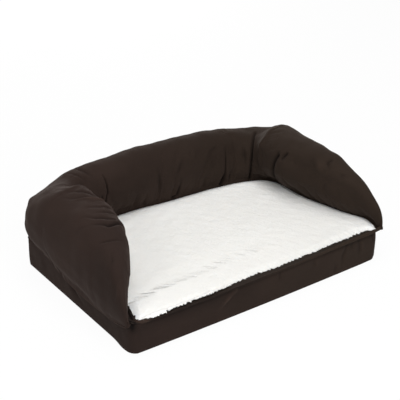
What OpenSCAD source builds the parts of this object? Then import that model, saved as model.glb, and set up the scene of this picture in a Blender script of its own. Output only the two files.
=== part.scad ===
// Sofa bed for a dog: a foam mattress base in a zipped cloth cover, a fleece top
// and a stuffed bolster that runs round three sides and tapers to the front corners.
// Origin: middle of the underside. X runs along the back, the front faces -Y, Z is up.

/* [Base] */
// Width of the base, side to side
base_w = 770; // [640:10:1000]
// Depth of the base, front to back
base_d = 516; // [460:4:640]
// Height of the base up to the top edge of its side band
base_h = 76; // [70:1:100]
// Radius of the base's four upright corners
corner_r = 20; // [14:1:40]
// Thickness of the cover cloth
cloth_t = 1.2; // [0.8:0.1:2]
// Thickness of the lower slab of firm foam
support_foam_h = 46; // [36:1:46]
// Gap left between a soft piece and the cloth round it
soft_gap = 0.3; // [0.2:0.05:0.6]

/* [Bolster] */
// Height of the bolster above the deck in the middle of the back
back_h = 170; // [140:2:210]
// How much lower the crest is at the back corners than in the middle
crest_drop = 14; // [0:1:30]
// How far the seam draws the bolster down at the back corners
corner_dip = 28; // [0:1:40]
// Height of the bolster above the deck along the arms
arm_h = 180; // [140:2:200]
// Thickness of the back at its fullest
back_w = 104; // [90:2:124]
// Thickness of an arm at its fullest
arm_w = 154; // [110:2:156]
// Width of the strip that the back is sewn down on
back_foot_w = 58; // [44:2:70]
// Width of the strip that an arm is sewn down on at the back
arm_foot_w = 54; // [44:2:70]
// Radius of the turn at the back corners, at the base's edge
bend_r = 150; // [148:1:170]
// How far the back bulges out past the base
back_bulge = 24; // [12:1:28]
// How far the arms bulge out past the base
arm_bulge = 18; // [8:1:26]
// Length over which an arm falls to its point
arm_fall = 278; // [200:2:300]
// Distance of the arm's point from the front edge
tip_setback = 5; // [2:1:20]
// How far the arm's point stands out past the base's side
tip_flare = 10; // [2:1:14]
// How far the arm's outer seam sags below the top of the side band
seam_sag = 24; // [6:1:30]

/* [Fleece] */
// Height of the pile panel at its drawn-in rim
fleece_edge_h = 6; // [3:0.5:8]
// Extra height of the crown in the middle of the pile panel
fleece_crown = 5; // [0:0.5:12]
// Diameter of the rolled seam along the front edge
roll_d = 8; // [6:0.5:12]

/* [Zip] */
// Distance from each end of the zip to the side of the base
zip_end_gap = 105; // [90:5:180]
// Pitch of the teeth on one tape
tooth_pitch = 5; // [4:0.5:8]
// Thickness of the teeth
tooth_t = 2.4; // [2:0.1:3]
// Height of the gap between the two bands that the zip shows in
zip_window_h = 12; // [10:1:16]
// Width of each zip tape
tape_w = 13; // [11:1:16]
// Thickness of the zip tape
tape_t = 0.6; // [0.4:0.1:1]
// Length of the slider
slider_l = 12; // [11:1:16]
// Length of the pull tab
pull_l = 26; // [18:1:40]
// Width of the pull tab
pull_w = 7; // [6.5:0.5:8]

/* [Hidden] */
$fn = 48;

cover_brown = [0.21, 0.17, 0.155];
deck_brown = [0.17, 0.14, 0.125];
underside_grey = [0.12, 0.12, 0.12];
fleece_white = [0.93, 0.92, 0.90];
foam_cream = [0.90, 0.84, 0.66];
foam_grey = [0.55, 0.58, 0.62];
filling_white = [0.88, 0.88, 0.86];
zip_black = [0.08, 0.07, 0.07];
zip_metal = [0.45, 0.45, 0.46];

// Levels, from the floor up
deck_z = base_h + cloth_t;
lining_z = deck_z + cloth_t;
foam_z = cloth_t;
memory_z = foam_z + support_foam_h;
memory_h = base_h - memory_z;

// Zip, in the middle of the back band
zip_len = base_w - 2 * zip_end_gap;
zip_z = base_h / 2;
tape_y = base_d / 2 - cloth_t - tape_t / 2;
tooth_gap_share = 0.125;
tooth_cross_share = 0.375;
tooth_gap = tooth_t * tooth_gap_share;
tooth_w = tooth_pitch / 2 - tooth_gap;
tooth_cross = tooth_t * tooth_cross_share;
spine_h = tooth_t / 2;
spine_z = tooth_cross + tooth_gap;
slider_gap = tooth_gap;
slider_plate = tooth_t / 2;
slider_h = 2 * (spine_z + spine_h + slider_gap + slider_plate);
slider_inner = tooth_t / 2 + slider_gap;
slider_outer = slider_inner + slider_plate;
neck_share = 0.3;
neck_l = slider_l * neck_share;
neck_h = spine_z + spine_h;
stop_share = 0.8;
stop_l = tooth_pitch * stop_share;
slider_x = zip_len / 2 - stop_l - slider_gap - slider_l / 2;
teeth_end_x = slider_x + slider_l / 2 - neck_l - slider_gap;
pin_share = 0.3;
pin_r = tooth_t * pin_share;
pin_clear = 0.08;
ear_t = tooth_t / 2;
eye_r = pin_r * 2;
pull_t = tooth_t / 2;
pull_hole_share = 0.25;
pin_y = tape_y + slider_outer + eye_r + slider_gap;

// The foam keeps clear of the slider's inner plate at the back
foam_back_gap = base_d / 2 - (tape_y - slider_outer) + soft_gap;

// Bolster: straight stretches run between the turns of the two back corners
turn_x = base_w / 2 - bend_r;
turn_y = base_d / 2 - bend_r;
tip_y = -base_d / 2 + tip_setback;
fall_y = tip_y + arm_fall;
arm_len = turn_y - tip_y;
inner_skirt = 9;
outer_skirt = 4;
tip_w = 6;
tip_h = 14;
tip_skirt_share = 0.15;
flare_start_share = 0.4;
wrap_angle = 150;
diagonal = 45;
fall_power = 2;
taper_power = 1.3;
foot_power = 1.2;
foot_end_share = 0.8;
foot_min = 1;
corner_power = 3.9;
crest_power = 2.2;
box_power = 2.45;
outer_tuck = 6;
outer_lean = 3;
inner_tuck = 3.6;
inner_lean = 2;
spacing_power = 1.5;
ring_steps = 20;
seam_gap = 1;
filling_part = 0.5;
filling_gap = 4;
filling_tip_gap = tip_w + tip_h;
lining_tip_share = 0.34;
lining_tip_gap = arm_fall * lining_tip_share;
arm_steps = 12;
corner_steps = 4;
back_steps = 10;

// Fleece panel
fleece_cols = 18;
fleece_rows = 14;
fleece_rim = 30;
fleece_rim_share = 0.35;
fleece_crown_reach = 5 * fleece_rim;
roll_end_angle = 44;

function smooth(x) = let (c = min(max(x, 0), 1)) c * c * (3 - 2 * c);
function signed_pow(x, p) = sign(x) * pow(abs(x), p);

// How far an arm has fallen at depth y: 0 where it is level, 1 at its point
function fall_share(y) = min(max((fall_y - y) / (fall_y - tip_y), 0), 1);
// What is left of a size at that depth, along a rounded fall
function left_share(s, p) = pow(max(1 - pow(s, p), 0), 1 / p);
// Width of the sewn-down strip along an arm
function arm_foot(y) = arm_foot_w * (1 - pow(min(fall_share(y) / foot_end_share, 1), foot_power));

// Distance from the middle of a back corner's turn to the base's edge, in direction a
function base_edge(a) =
    let (c = cos(a), d = sin(a), near = bend_r - corner_r)
    min(c, d) / max(c, d) < near / bend_r
        ? bend_r / max(c, d)
        : near * (c + d) + sqrt(pow(near * (c + d), 2) - 2 * near * near + corner_r * corner_r);

// A station is one cross-section of the bolster: [place of its axis, outward direction,
// rise, width, edge of its body, outer foot, inner foot, bulge, sag, share of skirt left]
function arm_station(y, side) =
    let (s = fall_share(y),
         high = left_share(s, fall_power),
         wide = left_share(s, taper_power),
         along = (turn_y - y) / arm_len,
         edge = bend_r + tip_flare * smooth((s - flare_start_share) / (1 - flare_start_share)))
    [[side * turn_x, y], [side, 0],
     tip_h + (arm_h - tip_h) * high,
     tip_w + (arm_w - tip_w) * wide,
     edge, edge + soft_gap + cloth_t, edge - max(arm_foot(y), tip_w / 2),
     (back_bulge + (arm_bulge - back_bulge) * smooth(along)) * sqrt(wide),
     seam_sag * sin(180 * min(max(along, 0), 1)),
     max(high, tip_skirt_share)];

function corner_station(a, side) =
    let (k = pow(pow(cos(a), corner_power) + pow(sin(a), corner_power), -1 / corner_power),
         f = a / 90,
         extra = bend_r * (k - 1))
    [[side * turn_x, turn_y], [side * cos(a), sin(a)],
     arm_h + (back_h - crest_drop - arm_h) * smooth(f)
         - corner_dip * pow(sin(2 * a), 2),
     arm_w + (back_w - arm_w) * f + extra,
     bend_r + extra, base_edge(a),
     bend_r - arm_foot_w - (back_foot_w - arm_foot_w) * f,
     back_bulge, 0, 1];

function back_station(x) =
    [[x, turn_y], [0, 1],
     back_h - crest_drop * pow(abs(x) / turn_x, crest_power),
     back_w, bend_r, bend_r, bend_r - back_foot_w, back_bulge, 0, 1];

// Level that the rounded part of a cross-section springs from: the arms' outer seam sags
// over the band, the other seams stand on the deck
function spring_z(st, outside) = outside
    ? deck_z - st[8] + outer_skirt * st[9]
    : deck_z + inner_skirt * st[9];
wrap_end = pow(abs(cos(wrap_angle)), 2 / box_power);

// Point of a cross-section at the angle phi from its crest, outside below 0.
// inset moves the whole line in from the covers' face.
function ring_point(st, phi, inset) =
    let (e = 2 / box_power,
         c = signed_pow(cos(phi), e),
         l = pow(abs(sin(phi)), e),
         t = (1 - cos(phi)) / (1 - cos(wrap_angle)),
         q = pow(t, phi < 0 ? outer_tuck : inner_tuck),
         foot_half = max((st[5] - st[6]) / 2 - inset, foot_min / 2),
         lean = pow(t, phi < 0 ? outer_lean : inner_lean),
         mid = (st[4] + st[7] - st[3] / 2) * (1 - lean) + (st[5] + st[6]) / 2 * lean,
         lat = l * (st[3] / 2 - inset) * (1 - q) + foot_half * q,
         rho = mid - sign(phi) * lat,
         low = spring_z(st, phi < 0),
         top = deck_z + st[2] - inset)
    [st[0][0] + st[1][0] * rho, st[0][1] + st[1][1] * rho,
     low + (top - low) * (c + wrap_end) / (1 + wrap_end)];
function at_z(p, z) = [p[0], p[1], z];

// Cross-section of a cover, from its outer seam over the crest to its inner seam
function cover_ring(st, inset) = concat(
    [at_z(ring_point(st, -wrap_angle, inset), deck_z - st[8])],
    [for (i = [0:ring_steps]) ring_point(st, wrap_angle * (2 * i / ring_steps - 1), inset)],
    [at_z(ring_point(st, wrap_angle, inset), deck_z)]);

// Cross-section of a filling: the cover's line moved in, cut off flat over the lining
function filling_ring(st) =
    let (inset = cloth_t + filling_gap,
         floor_z = lining_z + soft_gap,
         low = spring_z(st, true),
         top = deck_z + st[2] - inset,
         c = (floor_z - low) / (top - low) * (1 + wrap_end) - wrap_end,
         end = acos(signed_pow(c, box_power / 2)),
         half = ring_steps / 2)
    concat(
        [for (i = [0:half - 1]) ring_point(st, end * (i / half - 1), inset)],
        [for (i = [0:half]) ring_point(st, wrap_angle * i / half, inset)],
        [at_z(ring_point(st, wrap_angle, inset), floor_z)]);

// Stations of the left arm from its point to the corner's diagonal, and of the back
// from one diagonal to the other. tip_gap keeps a piece's end off the point.
function arm_stations(side, tip_gap, end_angle) = concat(
    [for (i = [0:arm_steps])
        let (f = pow(i / arm_steps, spacing_power))
            arm_station(tip_y + tip_gap + (arm_len - tip_gap) * f, side)],
    [for (i = [1:corner_steps]) corner_station(end_angle * i / corner_steps, side)]);
function back_stations(end_angle) = concat(
    [for (i = [0:corner_steps - 1])
        corner_station(end_angle + (90 - end_angle) * i / corner_steps, -1)],
    [for (i = [0:back_steps]) back_station(turn_x * (2 * i / back_steps - 1))],
    [for (i = [corner_steps - 1:-1:0])
        corner_station(end_angle + (90 - end_angle) * i / corner_steps, 1)]);

// Two triangles for each cell of a grid of n lines with m points each
function grid_faces(n, m, first, flip) = [
    for (i = [0:n - 2], j = [0:m - 2])
        let (a = first + i * m + j, b = a + 1, c = a + m + 1, d = a + m)
            each flip ? [[a, b, c], [a, c, d]] : [[a, c, b], [a, d, c]]];
// Triangles that close one ring across its own slit
function cap_faces(m, first, flip) = [
    for (j = [0:floor((m - 1) / 2) - 1])
        let (a = first + j, b = a + 1, d = first + m - 1 - j, c = d - 1)
            each (b == c)
                ? (flip ? [[a, b, d]] : [[a, d, b]])
                : (flip ? [[a, b, c], [a, c, d]] : [[a, c, b], [a, d, c]])];
// Triangles between two lines of points with the given strides
function strip_faces(n, a0, a_step, b0, b_step, flip) = [
    for (i = [0:n - 2])
        let (a = a0 + i * a_step, b = a + a_step, d = b0 + i * b_step, c = d + b_step)
            each flip ? [[a, b, c], [a, c, d]] : [[a, c, b], [a, d, c]]];

// A length of cover cloth laid over the stations, open underneath
module cover_length(outer, inner, closed_start, turned) {
    n = len(outer);
    m = len(outer[0]);
    pts = concat([for (r = outer) each r], [for (r = inner) each r]);
    inside = n * m;
    faces = concat(
        grid_faces(n, m, 0, turned),
        grid_faces(n, m, inside, !turned),
        strip_faces(n, 0, m, inside, m, turned),
        strip_faces(n, m - 1, m, inside + m - 1, m, !turned),
        strip_faces(m, (n - 1) * m, 1, inside + (n - 1) * m, 1, turned),
        closed_start
            ? concat(cap_faces(m, 0, !turned), cap_faces(m, inside, turned))
            : strip_faces(m, 0, 1, inside, 1, !turned),
        closed_start
            ? [for (f = [[0, m - 1, inside + m - 1], [0, inside + m - 1, inside]])
                turned ? [f[2], f[1], f[0]] : f]
            : []);
    polyhedron(pts, faces);
}

// A stuffed length with a flat underside
module filling_length(rings, turned) {
    n = len(rings);
    m = len(rings[0]);
    pts = [for (r = rings) each r];
    faces = concat(
        grid_faces(n, m, 0, turned),
        [for (i = [0:n - 2])
            let (a = i * m, b = a + m - 1, c = b + m, d = a + m)
                each turned ? [[a, d, c], [a, c, b]] : [[a, c, d], [a, b, c]]],
        cap_faces(m, 0, !turned),
        cap_faces(m, (n - 1) * m, turned));
    polyhedron(pts, faces);
}

module arm_cover(side) {
    st = arm_stations(side, 0, diagonal);
    inner_st = arm_stations(side, cloth_t, diagonal);
    cover_length([for (s = st) cover_ring(s, 0)],
                 [for (s = inner_st) cover_ring(s, cloth_t)],
                 true, side > 0);
}
module arm_filling(side) {
    st = arm_stations(side, filling_tip_gap, diagonal - filling_part);
    filling_length([for (s = st) filling_ring(s)], side > 0);
}

// Rectangle with round corners, centred on the axes
module round_rect(w, d, r) {
    square([w - 2 * r, d], center = true);
    square([w, d - 2 * r], center = true);
    for (x = [-1, 1], y = [-1, 1])
        translate([x * (w / 2 - r), y * (d / 2 - r)]) circle(r);
}

module base_bottom_panel() {
    color(underside_grey) linear_extrude(cloth_t) round_rect(base_w, base_d, corner_r);
}

module base_side_band() {
    color(cover_brown) translate([0, 0, cloth_t]) linear_extrude(base_h - cloth_t)
        difference() {
            round_rect(base_w, base_d, corner_r);
            round_rect(base_w - 2 * cloth_t, base_d - 2 * cloth_t, corner_r - cloth_t);
            translate([-zip_len / 2, 0]) square([zip_len, base_d]);
        }
}

module zip_band(z0, z1) {
    color(cover_brown) translate([-zip_len / 2, base_d / 2 - cloth_t, z0])
        cube([zip_len, cloth_t, z1 - z0]);
}
module zip_band_upper() { zip_band(zip_z + zip_window_h / 2, base_h); }
module zip_band_lower() { zip_band(cloth_t, zip_z - zip_window_h / 2); }

module zip_tape() {
    translate([-zip_len / 2, tape_y - tape_t / 2, spine_z + spine_h])
        cube([zip_len, tape_t, tape_w]);
}
module zip_tape_upper() {
    color(zip_black) translate([0, 0, zip_z]) zip_tape();
}
module zip_tape_lower() {
    color(zip_black) translate([0, 0, zip_z]) mirror([0, 0, 1]) zip_tape();
}

// One row of teeth on its spine; shift moves the row half a pitch for the other side
module teeth_row(shift) {
    teeth_l = teeth_end_x + zip_len / 2 - stop_l;
    count = floor((teeth_l - tooth_w - shift) / tooth_pitch);
    translate([-zip_len / 2 + stop_l, tape_y + tooth_t / 2, 0]) rotate([90, 0, 0])
        linear_extrude(tooth_t) {
            translate([0, spine_z]) square([teeth_l, spine_h]);
            for (i = [0:count])
                translate([shift + i * tooth_pitch, -tooth_cross])
                    square([tooth_w, tooth_cross + spine_z]);
        }
}
module zip_teeth_upper() {
    color(zip_black) translate([0, 0, zip_z]) teeth_row(0);
}
module zip_teeth_lower() {
    color(zip_black) translate([0, 0, zip_z]) mirror([0, 0, 1]) teeth_row(tooth_pitch / 2);
}

// A closing block across both rows at one end, and a block on each row at the other
module zip_end_stops() {
    stop_reach = spine_z + spine_h;
    color(zip_metal) translate([0, tape_y - tooth_t / 2, zip_z]) {
        translate([-zip_len / 2, 0, -stop_reach]) cube([stop_l, tooth_t, 2 * stop_reach]);
        for (side = [0, 1]) mirror([0, 0, side])
            translate([zip_len / 2 - stop_l, 0, spine_z]) cube([stop_l, tooth_t, spine_h]);
    }
}

// Two plates joined by a neck, with edges that guide the teeth and ears for the pull
module zip_slider() {
    half_l = slider_l / 2;
    guide_y = tape_t / 2 + slider_gap;
    color(zip_metal) translate([slider_x, tape_y, zip_z]) {
        for (side = [0, 1]) mirror([0, side, 0]) {
            translate([-half_l, slider_inner, -slider_h / 2])
                cube([slider_l, slider_plate, slider_h]);
            for (edge = [0, 1]) mirror([0, 0, edge])
                translate([-half_l, guide_y, slider_h / 2 - slider_plate])
                    cube([slider_l, slider_inner - guide_y, slider_plate]);
        }
        translate([half_l - neck_l, -slider_inner, -neck_h / 2])
            cube([neck_l, 2 * slider_inner, neck_h]);
        for (edge = [-1, 1])
            translate([-eye_r, slider_outer, edge * (pull_w / 2 - ear_t / 2) - ear_t / 2])
                cube([2 * eye_r, pin_y - tape_y - slider_outer + eye_r, ear_t]);
        translate([0, pin_y - tape_y, 0])
            cylinder(h = pull_w - ear_t, r = pin_r, center = true);
    }
}

// The tab hangs on the slider's pin by its eye and lies back along the zip
module zip_pull() {
    eye_h = pull_w - 2 * ear_t - 2 * slider_gap;
    neck_end = eye_r + ear_t;
    color(zip_metal) translate([slider_x, pin_y, zip_z]) difference() {
        union() {
            cylinder(h = eye_h, r = eye_r, center = true);
            translate([-neck_end, -pull_t / 2, -eye_h / 2]) cube([neck_end, pull_t, eye_h]);
            translate([-pull_l + pull_w / 2, -pull_t / 2, -pull_w / 2])
                cube([pull_l - pull_w / 2 - neck_end, pull_t, pull_w]);
            translate([-pull_l + pull_w / 2, 0, 0]) rotate([90, 0, 0])
                cylinder(h = pull_t, d = pull_w, center = true);
        }
        cylinder(h = pull_w, r = pin_r + pin_clear, center = true);
        translate([-pull_l + pull_w / 2, 0, 0]) rotate([90, 0, 0])
            cylinder(h = pull_w, r = pull_w * pull_hole_share, center = true);
    }
}

module foam_slab(z0, h) {
    front = cloth_t + soft_gap;
    depth = base_d - front - foam_back_gap;
    translate([0, (foam_back_gap - front) / -2, z0]) linear_extrude(h)
        round_rect(base_w - 2 * front, depth, corner_r - front);
}
module support_foam() { color(foam_cream) foam_slab(foam_z, support_foam_h); }
module memory_foam() { color(foam_grey) foam_slab(memory_z, memory_h); }

module deck_panel() {
    color(deck_brown) translate([0, 0, base_h]) linear_extrude(cloth_t)
        round_rect(base_w, base_d, corner_r);
}

// Half width of the fleece at depth y: it follows the arms' feet, the round back
// corners and the rolled seam at the front
fleece_front_y = -base_d / 2 + roll_d + soft_gap;
fleece_side_r = bend_r - arm_foot_w - seam_gap;
fleece_back_r = bend_r - back_foot_w - seam_gap;
fleece_back_y = turn_y + fleece_back_r;
fleece_corner_r = corner_r - roll_d;
function fleece_half(y) =
    let (foot = y > turn_y
             ? turn_x + fleece_side_r * sqrt(max(1 - pow((y - turn_y) / fleece_back_r, 2), 0))
             : turn_x + bend_r - arm_foot(y) - seam_gap,
         into = max(fleece_front_y + fleece_corner_r - y, 0),
         front = base_w / 2 - roll_d - fleece_corner_r
             + sqrt(max(pow(fleece_corner_r, 2) - pow(into, 2), 0)))
    min(foot, front - soft_gap);
// Height over the deck, drawn in round the rim: near is the distance from the rim
function fleece_top_h(near) =
    fleece_edge_h * smooth(fleece_rim_share + near / fleece_rim)
    + fleece_crown * smooth(near / fleece_crown_reach);
function fleece_y(i) =
    let (f = i / fleece_rows)
    fleece_front_y + (fleece_back_y - fleece_front_y) * (1 - cos(180 * f)) / 2;

module fleece_top() {
    n = fleece_rows + 1;
    m = fleece_cols + 1;
    top = [for (i = [0:fleece_rows], j = [0:fleece_cols])
        let (y = fleece_y(i), half = fleece_half(y),
             x = -half * cos(180 * j / fleece_cols),
             near = min(half - abs(x), y - fleece_front_y, fleece_back_y - y))
            [x, y, deck_z + fleece_top_h(max(near, 0))]];
    pts = concat(top, [for (p = top) [p[0], p[1], deck_z]]);
    under = n * m;
    faces = concat(
        grid_faces(n, m, 0, false),
        grid_faces(n, m, under, true),
        strip_faces(m, 0, 1, under, 1, true),
        strip_faces(m, (n - 1) * m, 1, under + (n - 1) * m, 1, false),
        strip_faces(n, 0, m, under, m, false),
        strip_faces(n, m - 1, m, under + m - 1, m, true));
    color(fleece_white) polyhedron(pts, faces);
}

// Rolled seam along the front, turning into the two front corners
module front_edge_roll() {
    r = roll_d / 2;
    turn = corner_r - r;
    half = base_w / 2 - corner_r;
    color(cover_brown) translate([0, -base_d / 2 + corner_r, deck_z + r]) {
        translate([0, -turn, 0]) rotate([0, 90, 0]) cylinder(h = 2 * half, r = r, center = true);
        for (side = [0, 1]) mirror([side, 0, 0])
            translate([half, 0, 0]) rotate([0, 0, -90])
                rotate_extrude(angle = roll_end_angle) translate([turn, 0]) circle(r);
    }
}

// Strip that closes the bolster underneath, sewn down along both edges
module bolster_bottom_lining() {
    left = arm_stations(-1, lining_tip_gap, diagonal);
    back = back_stations(diagonal);
    right = arm_stations(1, lining_tip_gap, diagonal);
    path = concat(left, [for (i = [1:len(back) - 2]) back[i]],
                  [for (i = [len(right) - 1:-1:0]) right[i]]);
    inset = cloth_t + seam_gap;
    outer = [for (s = path) s[0] + s[1] * (s[1][1] == 0 ? bend_r : s[5] - inset)];
    inner = [for (i = [len(path) - 1:-1:0])
        let (s = path[i]) s[0] + s[1] * (s[6] + inset)];
    color(deck_brown) translate([0, 0, deck_z]) linear_extrude(cloth_t)
        polygon(concat(outer, inner));
}

module left_arm_filling() { color(filling_white) arm_filling(-1); }
module right_arm_filling() { color(filling_white) arm_filling(1); }
module back_filling() {
    color(filling_white) filling_length(
        [for (s = back_stations(diagonal + filling_part)) filling_ring(s)], false);
}
module left_arm_cover() { color(cover_brown) arm_cover(-1); }
module right_arm_cover() { color(cover_brown) arm_cover(1); }
module back_cover() {
    st = back_stations(diagonal);
    color(cover_brown) cover_length([for (s = st) cover_ring(s, 0)],
                                    [for (s = st) cover_ring(s, cloth_t)],
                                    false, false);
}

base_bottom_panel();
base_side_band();
zip_band_upper();
zip_band_lower();
zip_tape_upper();
zip_tape_lower();
zip_teeth_upper();
zip_teeth_lower();
zip_end_stops();
zip_slider();
zip_pull();
support_foam();
memory_foam();
deck_panel();
fleece_top();
front_edge_roll();
bolster_bottom_lining();
left_arm_filling();
back_filling();
right_arm_filling();
left_arm_cover();
back_cover();
right_arm_cover();
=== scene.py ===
import math
import bpy
import numpy as np
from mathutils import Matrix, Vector


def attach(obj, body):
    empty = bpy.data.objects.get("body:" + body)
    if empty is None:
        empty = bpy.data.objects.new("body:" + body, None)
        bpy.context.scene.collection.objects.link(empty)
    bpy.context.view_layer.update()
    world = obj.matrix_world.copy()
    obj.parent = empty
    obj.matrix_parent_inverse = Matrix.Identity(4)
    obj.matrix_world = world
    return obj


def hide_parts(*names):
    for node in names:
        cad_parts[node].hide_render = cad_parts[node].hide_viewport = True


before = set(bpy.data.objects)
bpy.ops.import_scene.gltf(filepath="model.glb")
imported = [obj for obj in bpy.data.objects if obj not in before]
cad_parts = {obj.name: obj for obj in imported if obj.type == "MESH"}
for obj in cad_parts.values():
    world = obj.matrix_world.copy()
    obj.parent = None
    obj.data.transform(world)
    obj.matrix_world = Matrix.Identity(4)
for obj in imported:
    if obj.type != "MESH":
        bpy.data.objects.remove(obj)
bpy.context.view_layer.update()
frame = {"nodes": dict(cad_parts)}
nodes = frame["nodes"]
print("frame loaded,", len(nodes), "nodes")

# Sizes of the bed that several pieces share, in metres, as the solids have them
bed = {
    "width": 0.770,
    "depth": 0.516,
    "cornerRadius": 0.020,
    "cloth": 0.0012,
    "bottom": 0.0,
    "deck": 0.0772,
    "softGap": 0.0003,
}


def smooth(x):
    # level at both ends: c * c * (3 - 2c), with c kept from 0 to 1
    c = np.clip(x, 0, 1)
    return c * c * (3 - 2 * c)


def waves(points, length, seed, count=18, spread=(0.7, 1.6)):
    # sum of plane waves in random directions, each about one length long, from about -1 to 1
    draw = np.random.default_rng(seed)
    directions = draw.normal(size=(count, 3))
    directions /= np.linalg.norm(directions, axis=1, keepdims=True)
    turns = 2 * math.pi / (length * draw.uniform(*spread, count))
    phases = draw.uniform(0, 2 * math.pi, count)
    flat = np.asarray(points, float).reshape(-1, 3)
    total = np.sin(flat @ (directions * turns[:, None]).T + phases).sum(1)
    return (total / math.sqrt(count)).reshape(points.shape[:-1])


def ripples(points, rows):
    # sum of such waves, one for each row of height, length, seed and, if given, number of waves
    return sum(height * waves(points, *rest) for height, *rest in rows)


def runAlong(line):
    # distance walked along a line of points, at each of them: sum of the steps before it
    return np.concatenate([[0], np.cumsum(np.linalg.norm(np.diff(line, axis=0), axis=1))])


def evenly(line, count):
    # the same line with its points at equal distances; columns past the third ride along
    lengths = runAlong(line[:, :3])
    at = np.linspace(0, lengths[-1], count)
    return np.stack([np.interp(at, lengths, column) for column in line.T], -1)


def pairs(first, second):
    # grid of every value of the first list with every value of the second
    return np.stack(np.meshgrid(first, second, indexing="ij"), -1)


def gridNormals(points):
    # cross product of the two directions of the grid, scaled to 1
    along = np.gradient(points, axis=0)
    across = np.gradient(points, axis=1)
    normal = np.cross(along, across)
    return normal / np.maximum(np.linalg.norm(normal, axis=-1, keepdims=True), 1e-12)


def gridQuads(n, m, first=0, wrap=False, flip=False):
    # four corners of each cell of a grid of n lines with m points; wrap joins last point to first
    i, j = np.meshgrid(np.arange(n - 1), np.arange(m if wrap else m - 1), indexing="ij")
    k = (j + 1) % m
    quads = np.stack([i * m + j, (i + 1) * m + j, (i + 1) * m + k, i * m + k], -1)
    quads = quads.reshape(-1, 4) + first
    return quads[:, ::-1] if flip else quads


def fan(ring, centre, flip=False):
    # triangles from each edge of a closed ring to one point
    ring = np.asarray(ring)
    triangles = np.stack([ring, np.roll(ring, -1), np.full(len(ring), centre)], -1)
    return triangles[:, ::-1] if flip else triangles


def endFans(n, m, flip=False):
    # fans from the first and the last of n rings of m points to the two points that follow them
    return np.concatenate([fan(np.arange(m), n * m, flip),
                           fan(np.arange((n - 1) * m, n * m), n * m + 1, not flip)])


def makePiece(name, points, quads, triangles=(), coordinates=None, napAndPaintedLight=None):
    # the attribute given here is painted light and shade on the cloth, from -1, palest painted highlight, to
    # 1, darkest painted shade
    points = np.asarray(points, np.float32).reshape(-1, 3)
    quads = np.asarray(quads, np.int32).reshape(-1, 4)
    triangles = np.asarray(triangles, np.int32).reshape(-1, 3)
    corners = np.concatenate([quads.ravel(), triangles.ravel()])
    sizes = np.concatenate([np.full(len(quads), 4), np.full(len(triangles), 3)])
    starts = np.concatenate([[0], np.cumsum(sizes)[:-1]]).astype(np.int32)
    mesh = bpy.data.meshes.new(name)
    mesh.vertices.add(len(points))
    mesh.vertices.foreach_set("co", points.ravel())
    mesh.loops.add(len(corners))
    mesh.polygons.add(len(starts))
    mesh.loops.foreach_set("vertex_index", corners.astype(np.int32))
    mesh.polygons.foreach_set("loop_start", starts)
    mesh.polygons.foreach_set("use_smooth", np.ones(len(starts), bool))
    if coordinates is not None:
        layer = mesh.uv_layers.new(name="cloth")
        layer.data.foreach_set("uv", coordinates.reshape(-1, 2)[corners].astype(np.float32).ravel())
    if napAndPaintedLight is not None:
        layer = mesh.attributes.new("napAndPaintedLight", "FLOAT", "POINT")
        layer.data.foreach_set("value", np.clip(napAndPaintedLight, -1, 1).astype(np.float32).ravel())
    mesh.update(calc_edges=True)
    mesh.validate()
    piece = bpy.data.objects.new(name, mesh)
    bpy.context.scene.collection.objects.link(piece)
    return piece


def thicken(piece, thickness):
    # wall inwards from the outer face
    wall = piece.modifiers.new("wall", "SOLIDIFY")
    wall.thickness = thickness
    wall.offset = -1
    return piece


def tubePoints(path, radius, sides):
    # rings of the given radius square to a path; the first axis leans to the vertical
    path = np.asarray(path, float)
    forward = np.gradient(path, axis=0)
    forward /= np.linalg.norm(forward, axis=1, keepdims=True)
    side = np.cross(forward, [0, 0, 1.0])
    side /= np.maximum(np.linalg.norm(side, axis=1, keepdims=True), 1e-9)
    up = np.cross(side, forward)
    turn = np.linspace(0, 2 * math.pi, sides, endpoint=False)
    size = np.broadcast_to(np.asarray(radius, float).reshape(-1, 1, 1), (len(path), 1, 1))
    ring = side[:, None] * np.cos(turn)[None, :, None] + up[:, None] * np.sin(turn)[None, :, None]
    return path[:, None] + size * ring


tube = {"bumpLength": 0.012, "bumpSeed": 41, "clothRadius": 0.004}


def makeTube(name, path, radius, sides, bumps, napAndPaintedLight=None):
    # rings along the path, uneven by the bumps' share of the radius, with a point at both ends
    rings = tubePoints(path, radius, sides)
    out = rings - np.asarray(path)[:, None]
    rings = rings + out * (bumps * waves(rings, tube["bumpLength"], tube["bumpSeed"]))[..., None]
    n, m = rings.shape[:2]
    points = np.concatenate([rings.reshape(-1, 3), [path[0]], [path[-1]]])
    lengths = runAlong(path)
    around = np.linspace(0, 2 * math.pi * tube["clothRadius"], m)
    coordinates = np.concatenate([pairs(lengths, around).reshape(-1, 2), [[0, 0]], [[lengths[-1], 0]]])
    if napAndPaintedLight is not None:
        napAndPaintedLight = np.append(np.repeat(napAndPaintedLight, m), [napAndPaintedLight[0], napAndPaintedLight[-1]])
    return makePiece(name, points, gridQuads(n, m, wrap=True), endFans(n, m), coordinates, napAndPaintedLight)


# Camera at the photograph's angle
cameraSet = {"azimuth": -35.41, "elevation": 27.87, "distance": 3.08, "lens": 104.26,
             "sensor": 36.0, "aimRight": -0.0091, "aimUp": 0.1584, "farthest": 50}
turned, raised = math.radians(cameraSet["azimuth"]), math.radians(cameraSet["elevation"])
back = Vector((math.sin(turned) * math.cos(raised), -math.cos(turned) * math.cos(raised), math.sin(raised)))
right = Vector((math.cos(turned), math.sin(turned), 0))
up = back.cross(right)
aim = right * cameraSet["aimRight"] + up * cameraSet["aimUp"]
cameraData = bpy.data.cameras.new("camera")
cameraData.lens = cameraSet["lens"]
cameraData.sensor_width = cameraSet["sensor"]
cameraData.clip_end = cameraSet["farthest"]
camera = bpy.data.objects.new("camera", cameraData)
camera.location = aim + back * cameraSet["distance"]
camera.rotation_euler = back.to_track_quat("Z", "Y").to_euler()
bpy.context.scene.collection.objects.link(camera)
bpy.context.scene.camera = camera
print("camera set")


def spaced(constants):
    # sockets' names with spaces for the underscores of keywords
    return {name.replace("_", " "): value for name, value in constants.items()}


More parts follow.
